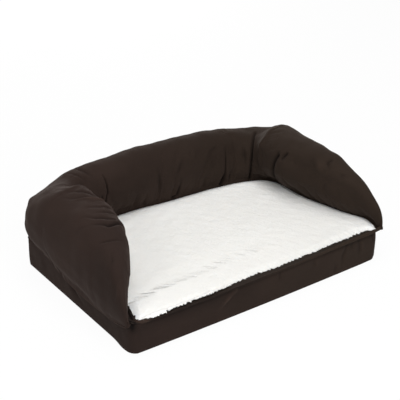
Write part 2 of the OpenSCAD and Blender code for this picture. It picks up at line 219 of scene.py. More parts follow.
# One output socket of a node; + - and * on it add Math nodes
class Wire:
    def __init__(self, nodes, socket):
        self.nodes, self.socket = nodes, socket

    def __add__(self, other):
        return self.nodes.maths("ADD", self, other)

    def __radd__(self, other):
        return self.nodes.maths("ADD", other, self)

    def __sub__(self, other):
        return self.nodes.maths("SUBTRACT", self, other)

    def __rsub__(self, other):
        return self.nodes.maths("SUBTRACT", other, self)

    def __mul__(self, other):
        return self.nodes.maths("MULTIPLY", self, other)

    def __rmul__(self, other):
        return self.nodes.maths("MULTIPLY", other, self)


# A node tree of a material or of the world: add() makes any node, and the methods after it give add()
# what one kind of node needs
class Nodes:
    def __init__(self, owner):
        owner.use_nodes = True
        self.tree = owner.node_tree
        self.tree.nodes.clear()

    def put(self, socket, value):
        if isinstance(value, Wire):
            self.tree.links.new(value.socket, socket)
        else:
            socket.default_value = value

    def add(self, kind, settings=None, sockets=None, output=0):
        node = self.tree.nodes.new("ShaderNode" + kind)
        for key, value in (settings or {}).items():
            setattr(node, key, value)
        for key, value in (sockets or {}).items():
            self.put(node.inputs[key], value)
        return node if output is None else Wire(self, node.outputs[output])

    def maths(self, operation, first, second):
        return self.add("Math", {"operation": operation}, {0: first, 1: second})

    def clamp(self, value):
        return self.add("Clamp", {}, {"Value": value})

    def place(self):
        return self.add("TexCoord", {}, {}, "Object")

    def clothPlace(self):
        return self.add("UVMap", {"uv_map": "cloth"})

    def napAndPaintedLight(self):
        return self.add("Attribute", {"attribute_name": "napAndPaintedLight"}, {}, "Fac")

    def stripes(self, place, direction, scale, **sockets):
        return self.add("TexWave", {"wave_type": "BANDS", "bands_direction": direction},
                        {"Vector": place, "Scale": scale, **spaced(sockets)})

    def noise(self, place, scale, detail=2.0, roughness=0.5, stretch=None):
        if stretch:
            place = self.add("Mapping", {}, {"Vector": place, "Scale": stretch})
        return self.add("TexNoise", {}, {"Vector": place, "Scale": scale, "Detail": detail,
                                         "Roughness": roughness})

    def mixColour(self, factor, first, second):
        return self.add("Mix", {"data_type": "RGBA"}, {0: factor, 6: first, 7: second}, 2)

    def bump(self, height, distance, strength, under=None):
        sockets = {"Height": height, "Distance": distance, "Strength": strength}
        if under:
            sockets["Normal"] = under
        return self.add("Bump", {}, sockets)


# A material: its Principled shader takes constants, feed() links what varies
class Finish(Nodes):
    def __init__(self, name, **constants):
        self.material = bpy.data.materials.new(name)
        super().__init__(self.material)
        self.result = self.add("BsdfPrincipled", {}, spaced(constants))
        self.shader = self.result.socket.node
        self.add("OutputMaterial", {}, {"Surface": self.result}, None)

    def feed(self, socket, value):
        self.put(self.shader.inputs[socket], value)


# Brushed microfibre: sizes of the noises, what each adds to the shade, the painted shade's and painted
# highlight's colours as shares of the dark colour, tint from left to right, roughness, and the relief with
# heights in metres
microfibre = {"mottleFiner": 14, "fluffScale": 900.0, "napShade": 1.6, "napLevel": 0.3, "mottleShade": 0.5,
              "fluffShade": 0.35, "deepShare": 0.22, "paleShare": 3.2, "tintPerMetre": 1.5,
              "leftTint": (1.01, 0.965, 0.97, 1), "rightTint": (0.98, 1.01, 0.90, 1),
              "smoothest": 0.84, "roughening": 0.12, "twillScale": 260.0, "twillHeight": 0.00012,
              "twillStrength": 0.35, "puckerScale": 70.0, "puckerHeight": 0.0012, "puckerStrength": 0.25}


def clothFinish(name, dark, light, napScale=9.0):
    # nap that shifts in patches, painted shade in the creases and painted light and shade from the mesh's
    # attribute, faint mottle, fine twill and fluff
    m = microfibre
    cloth = Finish(name, Roughness=0.9, Sheen_Weight=0.03, Sheen_Roughness=0.45,
                   Sheen_Tint=(0.70, 0.48, 0.38, 1), Specular_IOR_Level=0.12)
    place = cloth.place()
    napAndPaintedLight = cloth.noise(place, napScale, 3.0, 0.55)
    mottle = cloth.noise(place, napScale * m["mottleFiner"], 2.0, 0.6)
    fluff = cloth.noise(place, m["fluffScale"], 1.0)
    blend = napAndPaintedLight * m["napShade"] - m["napLevel"] + (mottle - 0.5) * m["mottleShade"]
    shade = cloth.clamp(blend + (fluff - 0.5) * m["fluffShade"])
    paintedShading = cloth.napAndPaintedLight()
    colour = cloth.mixColour(shade, (*dark, 1), (*light, 1))
    deep, pale = [tuple(part * share for part in dark) for share in (m["deepShare"], m["paleShare"])]
    # painted shade towards the deep colour where the attribute is above 0, painted highlight towards the pale
    # colour where it is below 0
    colour = cloth.mixColour(cloth.clamp(paintedShading), colour, (*deep, 1))
    colour = cloth.mixColour(cloth.clamp(0 - paintedShading), colour, (*pale, 1))
    # rosier towards the left, more olive towards the right
    across = cloth.add("SeparateXYZ", {}, {"Vector": place})
    tint = cloth.mixColour(cloth.clamp(across * m["tintPerMetre"] + 0.5), m["leftTint"], m["rightTint"])
    cloth.feed("Base Color", cloth.add("VectorMath", {"operation": "MULTIPLY"}, {0: colour, 1: tint}))
    cloth.feed("Roughness", m["smoothest"] + m["roughening"] * mottle)
    twill = cloth.stripes(cloth.clothPlace(), "DIAGONAL", m["twillScale"], Distortion=1.2, Detail=1.0,
                          Detail_Scale=2.0)
    low = cloth.bump(twill * 0.5 + fluff * 0.5, m["twillHeight"], m["twillStrength"])
    puckers = cloth.noise(place, m["puckerScale"], 3.0)
    cloth.feed("Normal", cloth.bump(puckers, m["puckerHeight"], m["puckerStrength"], low))
    return cloth.material


coverCloth = clothFinish("cover cloth", (0.0178, 0.0111, 0.0087), (0.0251, 0.0160, 0.0127))
rollCloth = clothFinish("rolled edge cloth", (0.0185, 0.0118, 0.0092), (0.0290, 0.0190, 0.0148), 40.0)
liningCloth = clothFinish("lining cloth", (0.0130, 0.0092, 0.0075), (0.0200, 0.0142, 0.0118))
print("cloth finishes made")


# The bolster: the solids' own sizes, in metres
bolster = {
    "backRise": 0.170, "crestDrop": 0.014, "cornerDip": 0.028, "armRise": 0.180,
    "backWidth": 0.104, "armWidth": 0.154, "backFoot": 0.058, "armFoot": 0.054, "bendRadius": 0.150,
    "backBulge": 0.024, "armBulge": 0.018, "armFall": 0.278, "tipSetback": 0.005,
    "tipFlare": 0.010, "seamSag": 0.024, "tipWidth": 0.006, "tipHeight": 0.014,
    "tipSkirtShare": 0.15, "flareStart": 0.4, "wrapAngle": math.radians(150),
    "fallPower": 2, "taperPower": 1.3, "footPower": 1.2, "footEnd": 0.8, "cornerPower": 3.9,
    "crestPower": 2.2, "boxPower": 2.45, "tuckPower": 6, "leanPower": 3,
    "innerTuck": 3.6, "innerLean": 2,
    "innerSkirt": 0.009, "outerSkirt": 0.004, "turnRadius": 0.110,
    "armLines": 300, "cornerLines": 150, "backLines": 380, "ringPoints": 180, "towardsTip": 1.5,
}
turnX = bed["width"] / 2 - bolster["bendRadius"]
turnY = bed["depth"] / 2 - bolster["bendRadius"]
tipY = -bed["depth"] / 2 + bolster["tipSetback"]
armLength = turnY - tipY
cornerLength = bolster["turnRadius"] * math.pi / 2
bolsterLength = 2 * (armLength + cornerLength + turnX)


def baseEdge(angle):
    # distance from the middle of a corner's turn to the base's rounded outline
    c, d = np.cos(angle), np.sin(angle)
    near = bolster["bendRadius"] - bed["cornerRadius"]
    rounded = near * (c + d) + np.sqrt(np.maximum(
        (near * (c + d)) ** 2 - 2 * near * near + bed["cornerRadius"] ** 2, 0))
    flat = bolster["bendRadius"] / np.maximum(c, d)
    return np.where(np.minimum(c, d) / np.maximum(c, d) < near / bolster["bendRadius"], flat, rounded)


# The stuffing's pull in metres, after the distance along the bolster where it is so strong: the inner
# seam outwards from its even line
drift = [(0.0, 0.0), (0.45, 0.0), (0.53, 0.006), (0.58, 0.014), (0.70, 0.013), (0.78, 0.003),
         (0.86, -0.001), (0.92, -0.004), (0.98, -0.012), (1.03, -0.020), (1.08, -0.016), (1.13, 0.002),
         (1.18, 0.014), (1.24, 0.014), (1.30, 0.0135), (1.36, 0.0160), (1.43, 0.0125), (1.46, 0.0135),
         (1.495, 0.0185), (1.51, 0.013), (1.525, 0.0), (1.60, 0.0)]
# the arms' whole cross-section outwards
sway = [(0.0, 0.0), (1.42, 0.0), (1.445, 0.0005), (1.47, 0.0), (1.50, -0.0015), (1.52, 0.0020),
        (1.54, 0.0055), (1.60, 0.0085)]
# the outer skirt downwards, then outwards
droop = [(0.0, 0.0, 0.0), (0.03, 0.003, 0.001), (0.07, 0.005, 0.003), (0.113, 0.0055, 0.0045),
         (0.183, 0.007, 0.006), (0.235, 0.008, 0.007), (0.268, 0.0085, 0.008), (0.303, 0.009, 0.009),
         (0.353, 0.0075, 0.0085), (0.397, 0.004, 0.0065), (0.45, 0.001, 0.003), (0.50, 0.0, 0.0),
         (1.04, 0.0, 0.0), (1.09, 0.001, 0.003), (1.18, 0.006, 0.007), (1.24, 0.007, 0.007),
         (1.36, 0.006, 0.005), (1.48, 0.003, 0.001), (1.54, 0.0, 0.0)]
stray = {"seamReach": 0.018, "skirtReach": 0.015, "samples": 13}


def strayAt(along, table, reach, column=1):
    # smooth line through the table's points: linear between them, then averaged over twice the reach
    spread = np.linspace(-reach, reach, stray["samples"])
    columns = list(zip(*table))
    return np.interp(along[:, None] + spread[None, :], columns[0], columns[column]).mean(1)


def stationsAt(along):
    # sizes of the cross-section at each distance along the bolster from its left tip; what is
    # nearer than an arm's length to a tip is an arm, then comes a corner, then the back
    b = bolster
    side = np.where(along < bolsterLength / 2, -1.0, 1.0)
    d = np.minimum(along, bolsterLength - along)
    isArm, isBack = d < armLength, d > armLength + cornerLength
    # arm
    y = tipY + d
    fall = np.clip((tipY + b["armFall"] - y) / b["armFall"], 0, 1)
    high = np.maximum(1 - fall ** b["fallPower"], 0) ** (1 / b["fallPower"])
    wide = np.maximum(1 - fall ** b["taperPower"], 0) ** (1 / b["taperPower"])
    ahead = np.clip((turnY - y) / armLength, 0, 1)
    armFoot = b["armFoot"] * (1 - np.clip(fall / b["footEnd"], 0, 1) ** b["footPower"])
    flare = b["tipFlare"] * smooth((fall - b["flareStart"]) / (1 - b["flareStart"]))
    armEdge = b["bendRadius"] + flare + strayAt(along, sway, stray["seamReach"])
    armSeam = armEdge - np.maximum(armFoot, b["tipWidth"] / 2)
    # corner
    angle = np.clip((d - armLength) / cornerLength, 0, 1) * math.pi / 2
    power = b["cornerPower"]
    square = (np.cos(angle) ** power + np.sin(angle) ** power) ** (-1 / power)
    extra = b["bendRadius"] * (square - 1)
    part = angle / (math.pi / 2)
    cornerRise = b["armRise"] + (b["backRise"] - b["crestDrop"] - b["armRise"]) * smooth(part) \
        - b["cornerDip"] * np.sin(2 * angle) ** 2
    # back
    x = side * np.clip(turnX - (d - armLength - cornerLength), 0, turnX)
    backRise = b["backRise"] - b["crestDrop"] * (np.abs(x) / turnX) ** b["crestPower"]
    pick = lambda arm, corner, rest: np.where(isArm, arm, np.where(isBack, rest, corner))
    return {
        "placeX": pick(side * turnX, side * turnX, x),
        "placeY": pick(y, turnY, turnY),
        "outX": pick(side, side * np.cos(angle), 0.0),
        "outY": pick(0.0, np.sin(angle), 1.0),
        "rise": pick(b["tipHeight"] + (b["armRise"] - b["tipHeight"]) * high, cornerRise, backRise),
        "width": pick(b["tipWidth"] + (b["armWidth"] - b["tipWidth"]) * wide,
                      b["armWidth"] + (b["backWidth"] - b["armWidth"]) * part + extra, b["backWidth"]),
        "edge": pick(armEdge, b["bendRadius"] + extra, b["bendRadius"]),
        "footOut": pick(armEdge + bed["softGap"] + bed["cloth"], baseEdge(angle), b["bendRadius"]),
        "footIn": strayAt(along, drift, stray["seamReach"]) + pick(
            armSeam, b["bendRadius"] - b["armFoot"] - (b["backFoot"] - b["armFoot"]) * part,
            b["bendRadius"] - b["backFoot"]),
        "bulge": pick((b["backBulge"] + (b["armBulge"] - b["backBulge"]) * smooth(ahead))
                      * np.sqrt(wide), b["backBulge"], b["backBulge"]),
        "sag": pick(b["seamSag"] * np.sin(math.pi * ahead), 0.0, 0.0)
               + strayAt(along, droop, stray["skirtReach"]),
        "hang": strayAt(along, droop, stray["skirtReach"], 2),
        "share": pick(np.maximum(high, b["tipSkirtShare"]), 1.0, 1.0),
    }


def standing(stations, out, height):
    # points that stand out from the stations' middles by a distance, at a height
    return np.stack([stations["placeX"] + stations["outX"] * out,
                     stations["placeY"] + stations["outY"] * out, np.broadcast_to(height, out.shape)], -1)


def ringPoints(stations, phi):
    # boxy half-round over each station: cos and sin of phi to a power below 1, leaning out by
    # the bulge at the crest and drawn in to the feet at both ends
    b = bolster
    st = {key: value[:, None] for key, value in stations.items()}
    phi = phi[None, :]
    power = 2 / b["boxPower"]
    upward = np.sign(np.cos(phi)) * np.abs(np.cos(phi)) ** power
    sideways = np.abs(np.sin(phi)) ** power
    turned = (1 - np.cos(phi)) / (1 - math.cos(b["wrapAngle"]))
    tuck = np.where(phi < 0, turned ** b["tuckPower"], turned ** b["innerTuck"])
    lean = np.where(phi < 0, turned ** b["leanPower"], turned ** b["innerLean"])
    rim = st["footOut"] + st["hang"] * (phi < 0)
    middle = (st["edge"] + st["bulge"] - st["width"] / 2) * (1 - lean) + (rim + st["footIn"]) / 2 * lean
    reach = sideways * st["width"] / 2 * (1 - tuck) + (rim - st["footIn"]) / 2 * tuck
    low = np.where(phi < 0, bed["deck"] - st["sag"] + b["outerSkirt"] * st["share"],
                   bed["deck"] + b["innerSkirt"] * st["share"])
    top = bed["deck"] + st["rise"]
    end = abs(math.cos(b["wrapAngle"])) ** power
    return standing(st, middle - np.sign(phi) * reach, low + (top - low) * (upward + end) / (1 + end))


def bolsterLines():
    # places of the stations: closer together towards the tips
    arm = armLength * np.linspace(0, 1, bolster["armLines"], endpoint=False) ** bolster["towardsTip"]
    corner = armLength + cornerLength * np.linspace(0, 1, bolster["cornerLines"], endpoint=False)
    half = np.concatenate([arm, corner])
    middle = np.linspace(armLength + cornerLength, bolsterLength - armLength - cornerLength,
                         bolster["backLines"])
    return np.concatenate([half, middle, bolsterLength - half[::-1]])


phiLine = np.linspace(-1, 1, bolster["ringPoints"]) * bolster["wrapAngle"]


def surfaceAt(along, around):
    # point of the plain bolster at each pair of a distance along and a share round, from -1 at
    # the outer seam over 0 at the crest to 1 at the inner seam
    along, around = np.atleast_1d(along).astype(float), np.atleast_1d(around).astype(float)
    grid = ringPoints(stationsAt(along), around * bolster["wrapAngle"])
    index = np.arange(len(along))
    return grid[index, index]


# Folds and creases of the cover: width and depth in metres, the depth's share at the first and the
# last point, and the (along, around) points. A depth below 0 is a ridge.
folds = [
    # back, from the right corner to the left one
    (0.0022, 0.0062, (0.6, 1.0), [(1.089, 0.02), (1.086, 0.20), (1.082, 0.55), (1.077, 0.98)]),
    (0.0036, 0.0030, (0.2, 0.1), [(1.044, 0.36), (1.045, 0.53), (1.049, 0.66)]),
    (0.0042, 0.0066, (0.9, 0.6), [(1.251, 0.38), (1.242, 0.49), (1.231, 0.60), (1.214, 0.72),
        (1.190, 0.92)]),
    (0.0030, 0.0050, (0.8, 0.7), [(1.278, 0.30), (1.268, 0.42)]),
    (0.0020, 0.0044, (0.2, 1.0), [(0.975, 0.40), (0.973, 0.60), (0.974, 0.78)]),
    (0.0036, 0.0095, (0.5, 1.0), [(0.974, 0.80), (0.972, 0.90), (0.966, 1.00)]),
    (0.0026, 0.0040, (0.3, 0.2), [(0.990, 0.72), (0.995, 0.93)]),
    (0.0044, 0.0026, (0.1, 0.2), [(0.833, 0.40), (0.818, 0.53), (0.804, 0.62)]),
    (0.0024, 0.0060, (0.2, 1.5), [(0.822, 0.64), (0.824, 0.82), (0.822, 0.94), (0.810, 1.00)]),
    (0.0044, 0.0034, (0.1, 0.2), [(0.752, 0.46), (0.755, 0.60), (0.760, 0.84)]),
    # left corner
    (0.0016, 0.0048, (0.3, 1.2), [(0.584, 0.26), (0.589, 0.42), (0.591, 0.54), (0.583, 0.62)]),
    (0.0020, 0.0045, (0.5, 1.0), [(0.572, 0.56), (0.574, 0.66)]),
    (0.0030, 0.0024, (0.2, 0.2), [(0.532, -0.12), (0.545, 0.10), (0.556, 0.22)]),
    (0.0028, 0.0022, (0.2, 0.2), [(0.512, -0.05), (0.522, 0.10), (0.535, 0.24)]),
    # left arm's inner bend
    (0.0026, 0.0026, (0.1, 0.6), [(0.392, 0.06), (0.366, 0.14), (0.350, 0.24)]),
    (0.0028, 0.0040, (0.1, 0.8), [(0.362, -0.02), (0.336, 0.06), (0.318, 0.15), (0.305, 0.24)]),
    (0.0024, 0.0022, (0.1, 0.6), [(0.345, -0.10), (0.318, -0.01), (0.298, 0.10), (0.290, 0.22)]),
    (0.0026, -0.0030, (0.2, 0.8), [(0.316, -0.02), (0.291, 0.08), (0.281, 0.20)]),
    (0.0026, 0.0030, (0.1, 0.5), [(0.262, -0.03), (0.250, 0.10), (0.248, 0.24)]),
    (0.0026, 0.0024, (0.1, 0.6), [(0.232, 0.00), (0.226, 0.10), (0.228, 0.26)]),
    (0.0030, 0.0040, (0.1, 0.8), [(0.240, -0.14), (0.216, -0.02), (0.201, 0.08), (0.198, 0.20)]),
    (0.0034, 0.0058, (0.1, 0.9), [(0.206, -0.14), (0.190, -0.01), (0.176, 0.05), (0.178, 0.14),
        (0.188, 0.28)]),
    (0.0040, 0.0012, (0.2, 0.4), [(0.228, -0.33), (0.220, -0.26), (0.205, -0.18)]),
    (0.0028, 0.0026, (0.5, 0.3), [(0.146, -0.18), (0.139, -0.10), (0.132, 0.04), (0.130, 0.18)]),
    (0.0034, 0.0018, (0.4, 0.1), [(0.100, -0.05), (0.085, -0.12), (0.075, -0.20)]),
    (0.0030, -0.0014, (0.4, 0.1), [(0.041, -0.20), (0.032, -0.36), (0.034, -0.52)]),
    # right arm's inner face
    (0.0110, 0.0018, (1.0, 0.2), [(1.352, 0.22), (1.360, 0.28), (1.370, 0.34)]),
    (0.0080, -0.0014, (0.9, 0.2), [(1.369, 0.20), (1.380, 0.27), (1.390, 0.33)]),
    (0.0034, 0.0036, (0.9, 0.3), [(1.390, 0.04), (1.391, 0.11), (1.401, 0.19)]),
    (0.0040, 0.0020, (0.3, 0.3), [(1.440, 0.24), (1.437, 0.15), (1.446, 0.07)]),
]
# Shallow gathers that rise from the outer foot seam: where along it, lean, how far up, depth
gathers = [
    (0.310, 0.006, 0.16, 0.0022), (0.352, 0.010, 0.24, 0.0028), (0.396, -0.004, 0.14, 0.0020),
    (0.520, 0.008, 0.20, 0.0030), (0.556, 0.004, 0.13, 0.0020), (0.640, -0.010, 0.26, 0.0032),
    (0.676, -0.004, 0.15, 0.0022), (0.742, 0.006, 0.18, 0.0026), (0.840, -0.008, 0.22, 0.0030),
    (0.872, -0.012, 0.30, 0.0022), (0.956, 0.006, 0.16, 0.0026), (1.020, 0.010, 0.24, 0.0030),
    (1.052, 0.004, 0.12, 0.0020), (1.186, -0.006, 0.20, 0.0028), (1.224, -0.010, 0.28, 0.0024),
    (1.300, 0.006, 0.18, 0.0028), (1.372, 0.010, 0.22, 0.0026), (1.430, -0.004, 0.14, 0.0020),
]
gather = {"from": -0.985, "width": 0.0050, "ends": (1.0, 0.1), "bend": (0.4, 0.5)}
for at, lean, rise, depth in gathers:
    bendAlong, bendUp = gather["bend"]
    folds.append((gather["width"], depth, gather["ends"], [
        (at, gather["from"]), (at + bendAlong * lean, gather["from"] + bendUp * rise),
        (at + lean, gather["from"] + rise)]))

# Where the stuffing makes the bolster fuller or slacker than its plain form: the middle
# (along, around), the reach both ways and the distance moved in metres
pushes = [
    ((0.88, 0.00), (0.22, 0.35), -0.0015),
    ((0.740, -0.05), (0.04, 0.30), 0.0015),
    ((0.690, -0.05), (0.05, 0.30), 0.0012),
    ((0.632, -0.12), (0.045, 0.22), -0.0040),
    ((0.444, -0.38), (0.014, 0.06), 0.0040),
    ((0.430, -0.55), (0.07, 0.25), 0.0020),
    ((0.590, -0.05), (0.090, 0.30), 0.0105),
    ((0.455, 0.05), (0.032, 0.13), 0.0160),
    ((0.425, -0.06), (0.022, 0.14), 0.0080),
    ((0.510, 0.28), (0.022, 0.11), -0.0090),
    ((0.375, 0.15), (0.080, 0.17), 0.0125),
    ((0.270, 0.45), (0.06, 0.25), 0.0060),
    ((0.175, 0.40), (0.05, 0.25), 0.0060),
    ((0.050, 0.30), (0.06, 0.30), -0.0045),
    ((0.010, 0.35), (0.035, 0.45), -0.0035),
    ((0.215, 0.20), (0.018, 0.12), -0.0040),
    ((1.360, 0.45), (0.13, 0.24), -0.0130),
    ((1.360, 0.86), (0.13, 0.12), 0.0030),
    ((1.390, -0.10), (0.03, 0.25), 0.0035),
    ((1.490, 0.75), (0.04, 0.30), -0.0060),
    ((1.465, -0.25), (0.04, 0.30), -0.0015),
]


# Broad patches of painted shade, or by less than 0 of painted light, given alike; the last is a painted
# highlight along the left arm's outer seam
paintedShadeMarks = [
    ((0.060, -0.50), (0.10, 0.40), 0.26),
    ((0.150, 0.20), (0.10, 0.25), 0.16),
    ((0.270, -0.50), (0.20, 0.35), -0.07),
    ((0.900, 0.00), (0.20, 0.25), 0.09),
    ((0.850, 0.20), (0.16, 0.45), 0.07),
    ((0.730, 0.60), (0.07, 0.30), 0.10),
    ((1.150, 0.60), (0.06, 0.40), 0.14),
    ((0.790, 0.92), (0.10, 0.20), -0.12),
    ((1.380, 0.95), (0.14, 0.22), -0.08),
    ((0.240, -1.00), (0.22, 0.05), -0.22),
]


def bellsAt(lines, around, bells):
    # a bell round each middle, wide as its reach both ways
    total = np.zeros((len(lines), len(around)))
    for (middle, share), (reachAlong, reachAround), by in bells:
        u = (lines - middle) / reachAlong
        v = (around - share) / reachAround
        total += by * np.exp(-u[:, None] ** 2 - v[None, :] ** 2)
    return total


# Section of a groove, in its widths: how far it is looked for, then the share of the groove, of the
# wider dip and of the raised lips, with their sizes
groove = {"search": 8, "line": 0.75, "dip": 0.35, "dipWidth": 3, "lip": 0.12, "lipAt": 3, "lipWidth": 1.5}


def grooveDepth(points, path, width, depth, ends):
    # distance to a line gives a narrow groove in a wider dip with a raised lip on both sides; the
    # depth runs from one end's share to the other's
    g = groove
    path = np.asarray(path, float)
    result = np.zeros(points.shape[:-1])
    reach = g["search"] * width
    near = np.all((points > path.min(0) - reach) & (points < path.max(0) + reach), axis=-1)
    if not near.any():
        return result
    spot = points[near]
    first, step = path[:-1], np.diff(path, axis=0)
    offset = spot[:, None] - first[None]
    part = np.clip((offset * step).sum(-1) / np.maximum((step ** 2).sum(-1), 1e-12), 0, 1)
    away = np.linalg.norm(offset - part[..., None] * step, axis=-1)
    nearest = away.argmin(1)
    index = np.arange(len(spot))
    run = (nearest + part[index, nearest]) / len(step)
    share = np.interp(run, [0, 0.5, 1], [ends[0], 1, ends[1]])
    w = away[index, nearest] / width
    dent = g["line"] * np.exp(-w ** 2) + g["dip"] * np.exp(-(w / g["dipWidth"]) ** 2) \
        - g["lip"] * np.exp(-((w - g["lipAt"]) / g["lipWidth"]) ** 2)
    result[near] = depth * share * dent
    return result


def foldPath(line):
    # a fold's line laid on the plain bolster, in even steps
    line = np.array(line, float)
    steps = np.linspace(0, len(line) - 1, skin["foldSteps"])
    return surfaceAt(*[np.interp(steps, np.arange(len(line)), column) for column in line.T])


# Cloth simulation of the cover, held at its seams and cut a little too large; its creases are capped,
# fade towards the tips and count only for the outer share on the outer side
creasing = {"everyAlong": 4, "everyAround": 3, "frames": 14, "quality": 5, "pressure": 3.0,
            "shrink": -0.05, "mass": 0.15, "stiffness": 15.0, "shear": 5.0, "bending": 0.05,
            "spreadAlong": 10, "spreadAround": 5, "cap": 0.0045, "gain": 0.9, "tipFade": 0.16,
            "outerShare": 0.2, "innerFrom": 0.35, "innerReach": 0.45}


def blurred(values, size, axis):
    # weighted mean along one axis with a bell of the given half-width in points
    weights = np.exp(-np.linspace(-2, 2, 2 * size + 1) ** 2)
    spread = [(0, 0)] * values.ndim
    spread[axis] = (size, size)
    padded = np.pad(values, spread, mode="edge")
    count = values.shape[axis]
    pieces = [w * padded.take(range(k, k + count), axis) for k, w in enumerate(weights / weights.sum())]
    return sum(pieces)


def simulateCover(rings):
    # the stuffing presses the cover out from within; what is wanted is how it creases, so the
    # slow part of its movement is taken off again
    n, m = rings.shape[:2]
    lines = np.unique(np.append(np.arange(0, n, creasing["everyAlong"]), n - 1))
    steps = np.unique(np.append(np.arange(0, m, creasing["everyAround"]), m - 1))
    grid = rings[lines][:, steps]
    count = grid.shape[:2]
    cover = makePiece("cover_for_simulation", grid, gridQuads(*count, flip=True))
    index = np.arange(count[0] * count[1]).reshape(count)
    held = cover.vertex_groups.new(name="held")
    for line in (index[0], index[-1], index[:, 0], index[:, -1]):
        held.add(line.tolist(), 1.0, "REPLACE")
    press = cover.modifiers.new("press", "CLOTH")
    press.point_cache.frame_start, press.point_cache.frame_end = 1, creasing["frames"]
    press.collision_settings.use_collision = False
    fabric = press.settings
    fabric.quality, fabric.mass = creasing["quality"], creasing["mass"]
    fabric.tension_stiffness = fabric.compression_stiffness = creasing["stiffness"]
    fabric.shear_stiffness, fabric.bending_stiffness = creasing["shear"], creasing["bending"]
    fabric.use_pressure, fabric.uniform_pressure_force = True, creasing["pressure"]
    fabric.vertex_group_mass, fabric.shrink_min = "held", creasing["shrink"]
    fabric.effector_weights.gravity = 0
    scene = bpy.context.scene
    for number in range(1, creasing["frames"] + 1):
        scene.frame_set(number)
    solved = cover.evaluated_get(bpy.context.evaluated_depsgraph_get())
    spots = np.zeros(count[0] * count[1] * 3, np.float32)
    solved.to_mesh().vertices.foreach_get("co", spots)
    solved.to_mesh_clear()
    mesh = cover.data
    bpy.data.objects.remove(cover)
    bpy.data.meshes.remove(mesh)
    scene.frame_set(1)
    rise = ((spots.reshape(*count, 3) - grid) * -gridNormals(grid)).sum(-1)
    slow = blurred(blurred(rise, creasing["spreadAlong"], 0), creasing["spreadAround"], 1)
    crease = creasing["cap"] * np.tanh((rise - slow) * creasing["gain"] / creasing["cap"])
    along = np.array([np.interp(np.arange(n), lines, crease[:, k]) for k in range(count[1])]).T
    return np.array([np.interp(np.arange(m), steps, line) for line in along])


# The skin's own relief in metres: how far the seams hold it, waves, pleats at the inner seam, the
# folds' real depth against the listed one and their painted shade per metre of depth, and the turned-in
# underside
skin = {"seamHold": 0.12, "tipHold": 0.06, "waves": [(0.0022, 0.13, 3), (0.0009, 0.045, 4)],
        "pleats": [(1.0, 0.024, 8)], "pleatDepth": 0.0016, "pleatLine": -20, "pleatFrom": 0.55,
        "pleatReach": 0.3, "pleatTo": 1.02, "pleatFade": 0.05, "foldSteps": 24, "foldDepth": 1.5,
        "foldShade": 110.0, "foldLimits": (-0.5, 0.9), "rest": 0.0005, "underShares": (0, 0.33, 0.66, 1),
        "turnedIn": 0.3, "endSteps": 6, "endReach": 0.005, "clothRound": 0.5}


def roundEnd(ring, forward):
    # the last ring shrinks to a point while it moves on: a quarter of an ellipse
    centre = ring.mean(0)
    steps = np.linspace(0, 1, skin["endSteps"])[1:-1]
    rings = [centre + (ring - centre) * math.sqrt(1 - s * s) + forward * skin["endReach"] * s for s in steps]
    return rings, centre + forward * skin["endReach"]


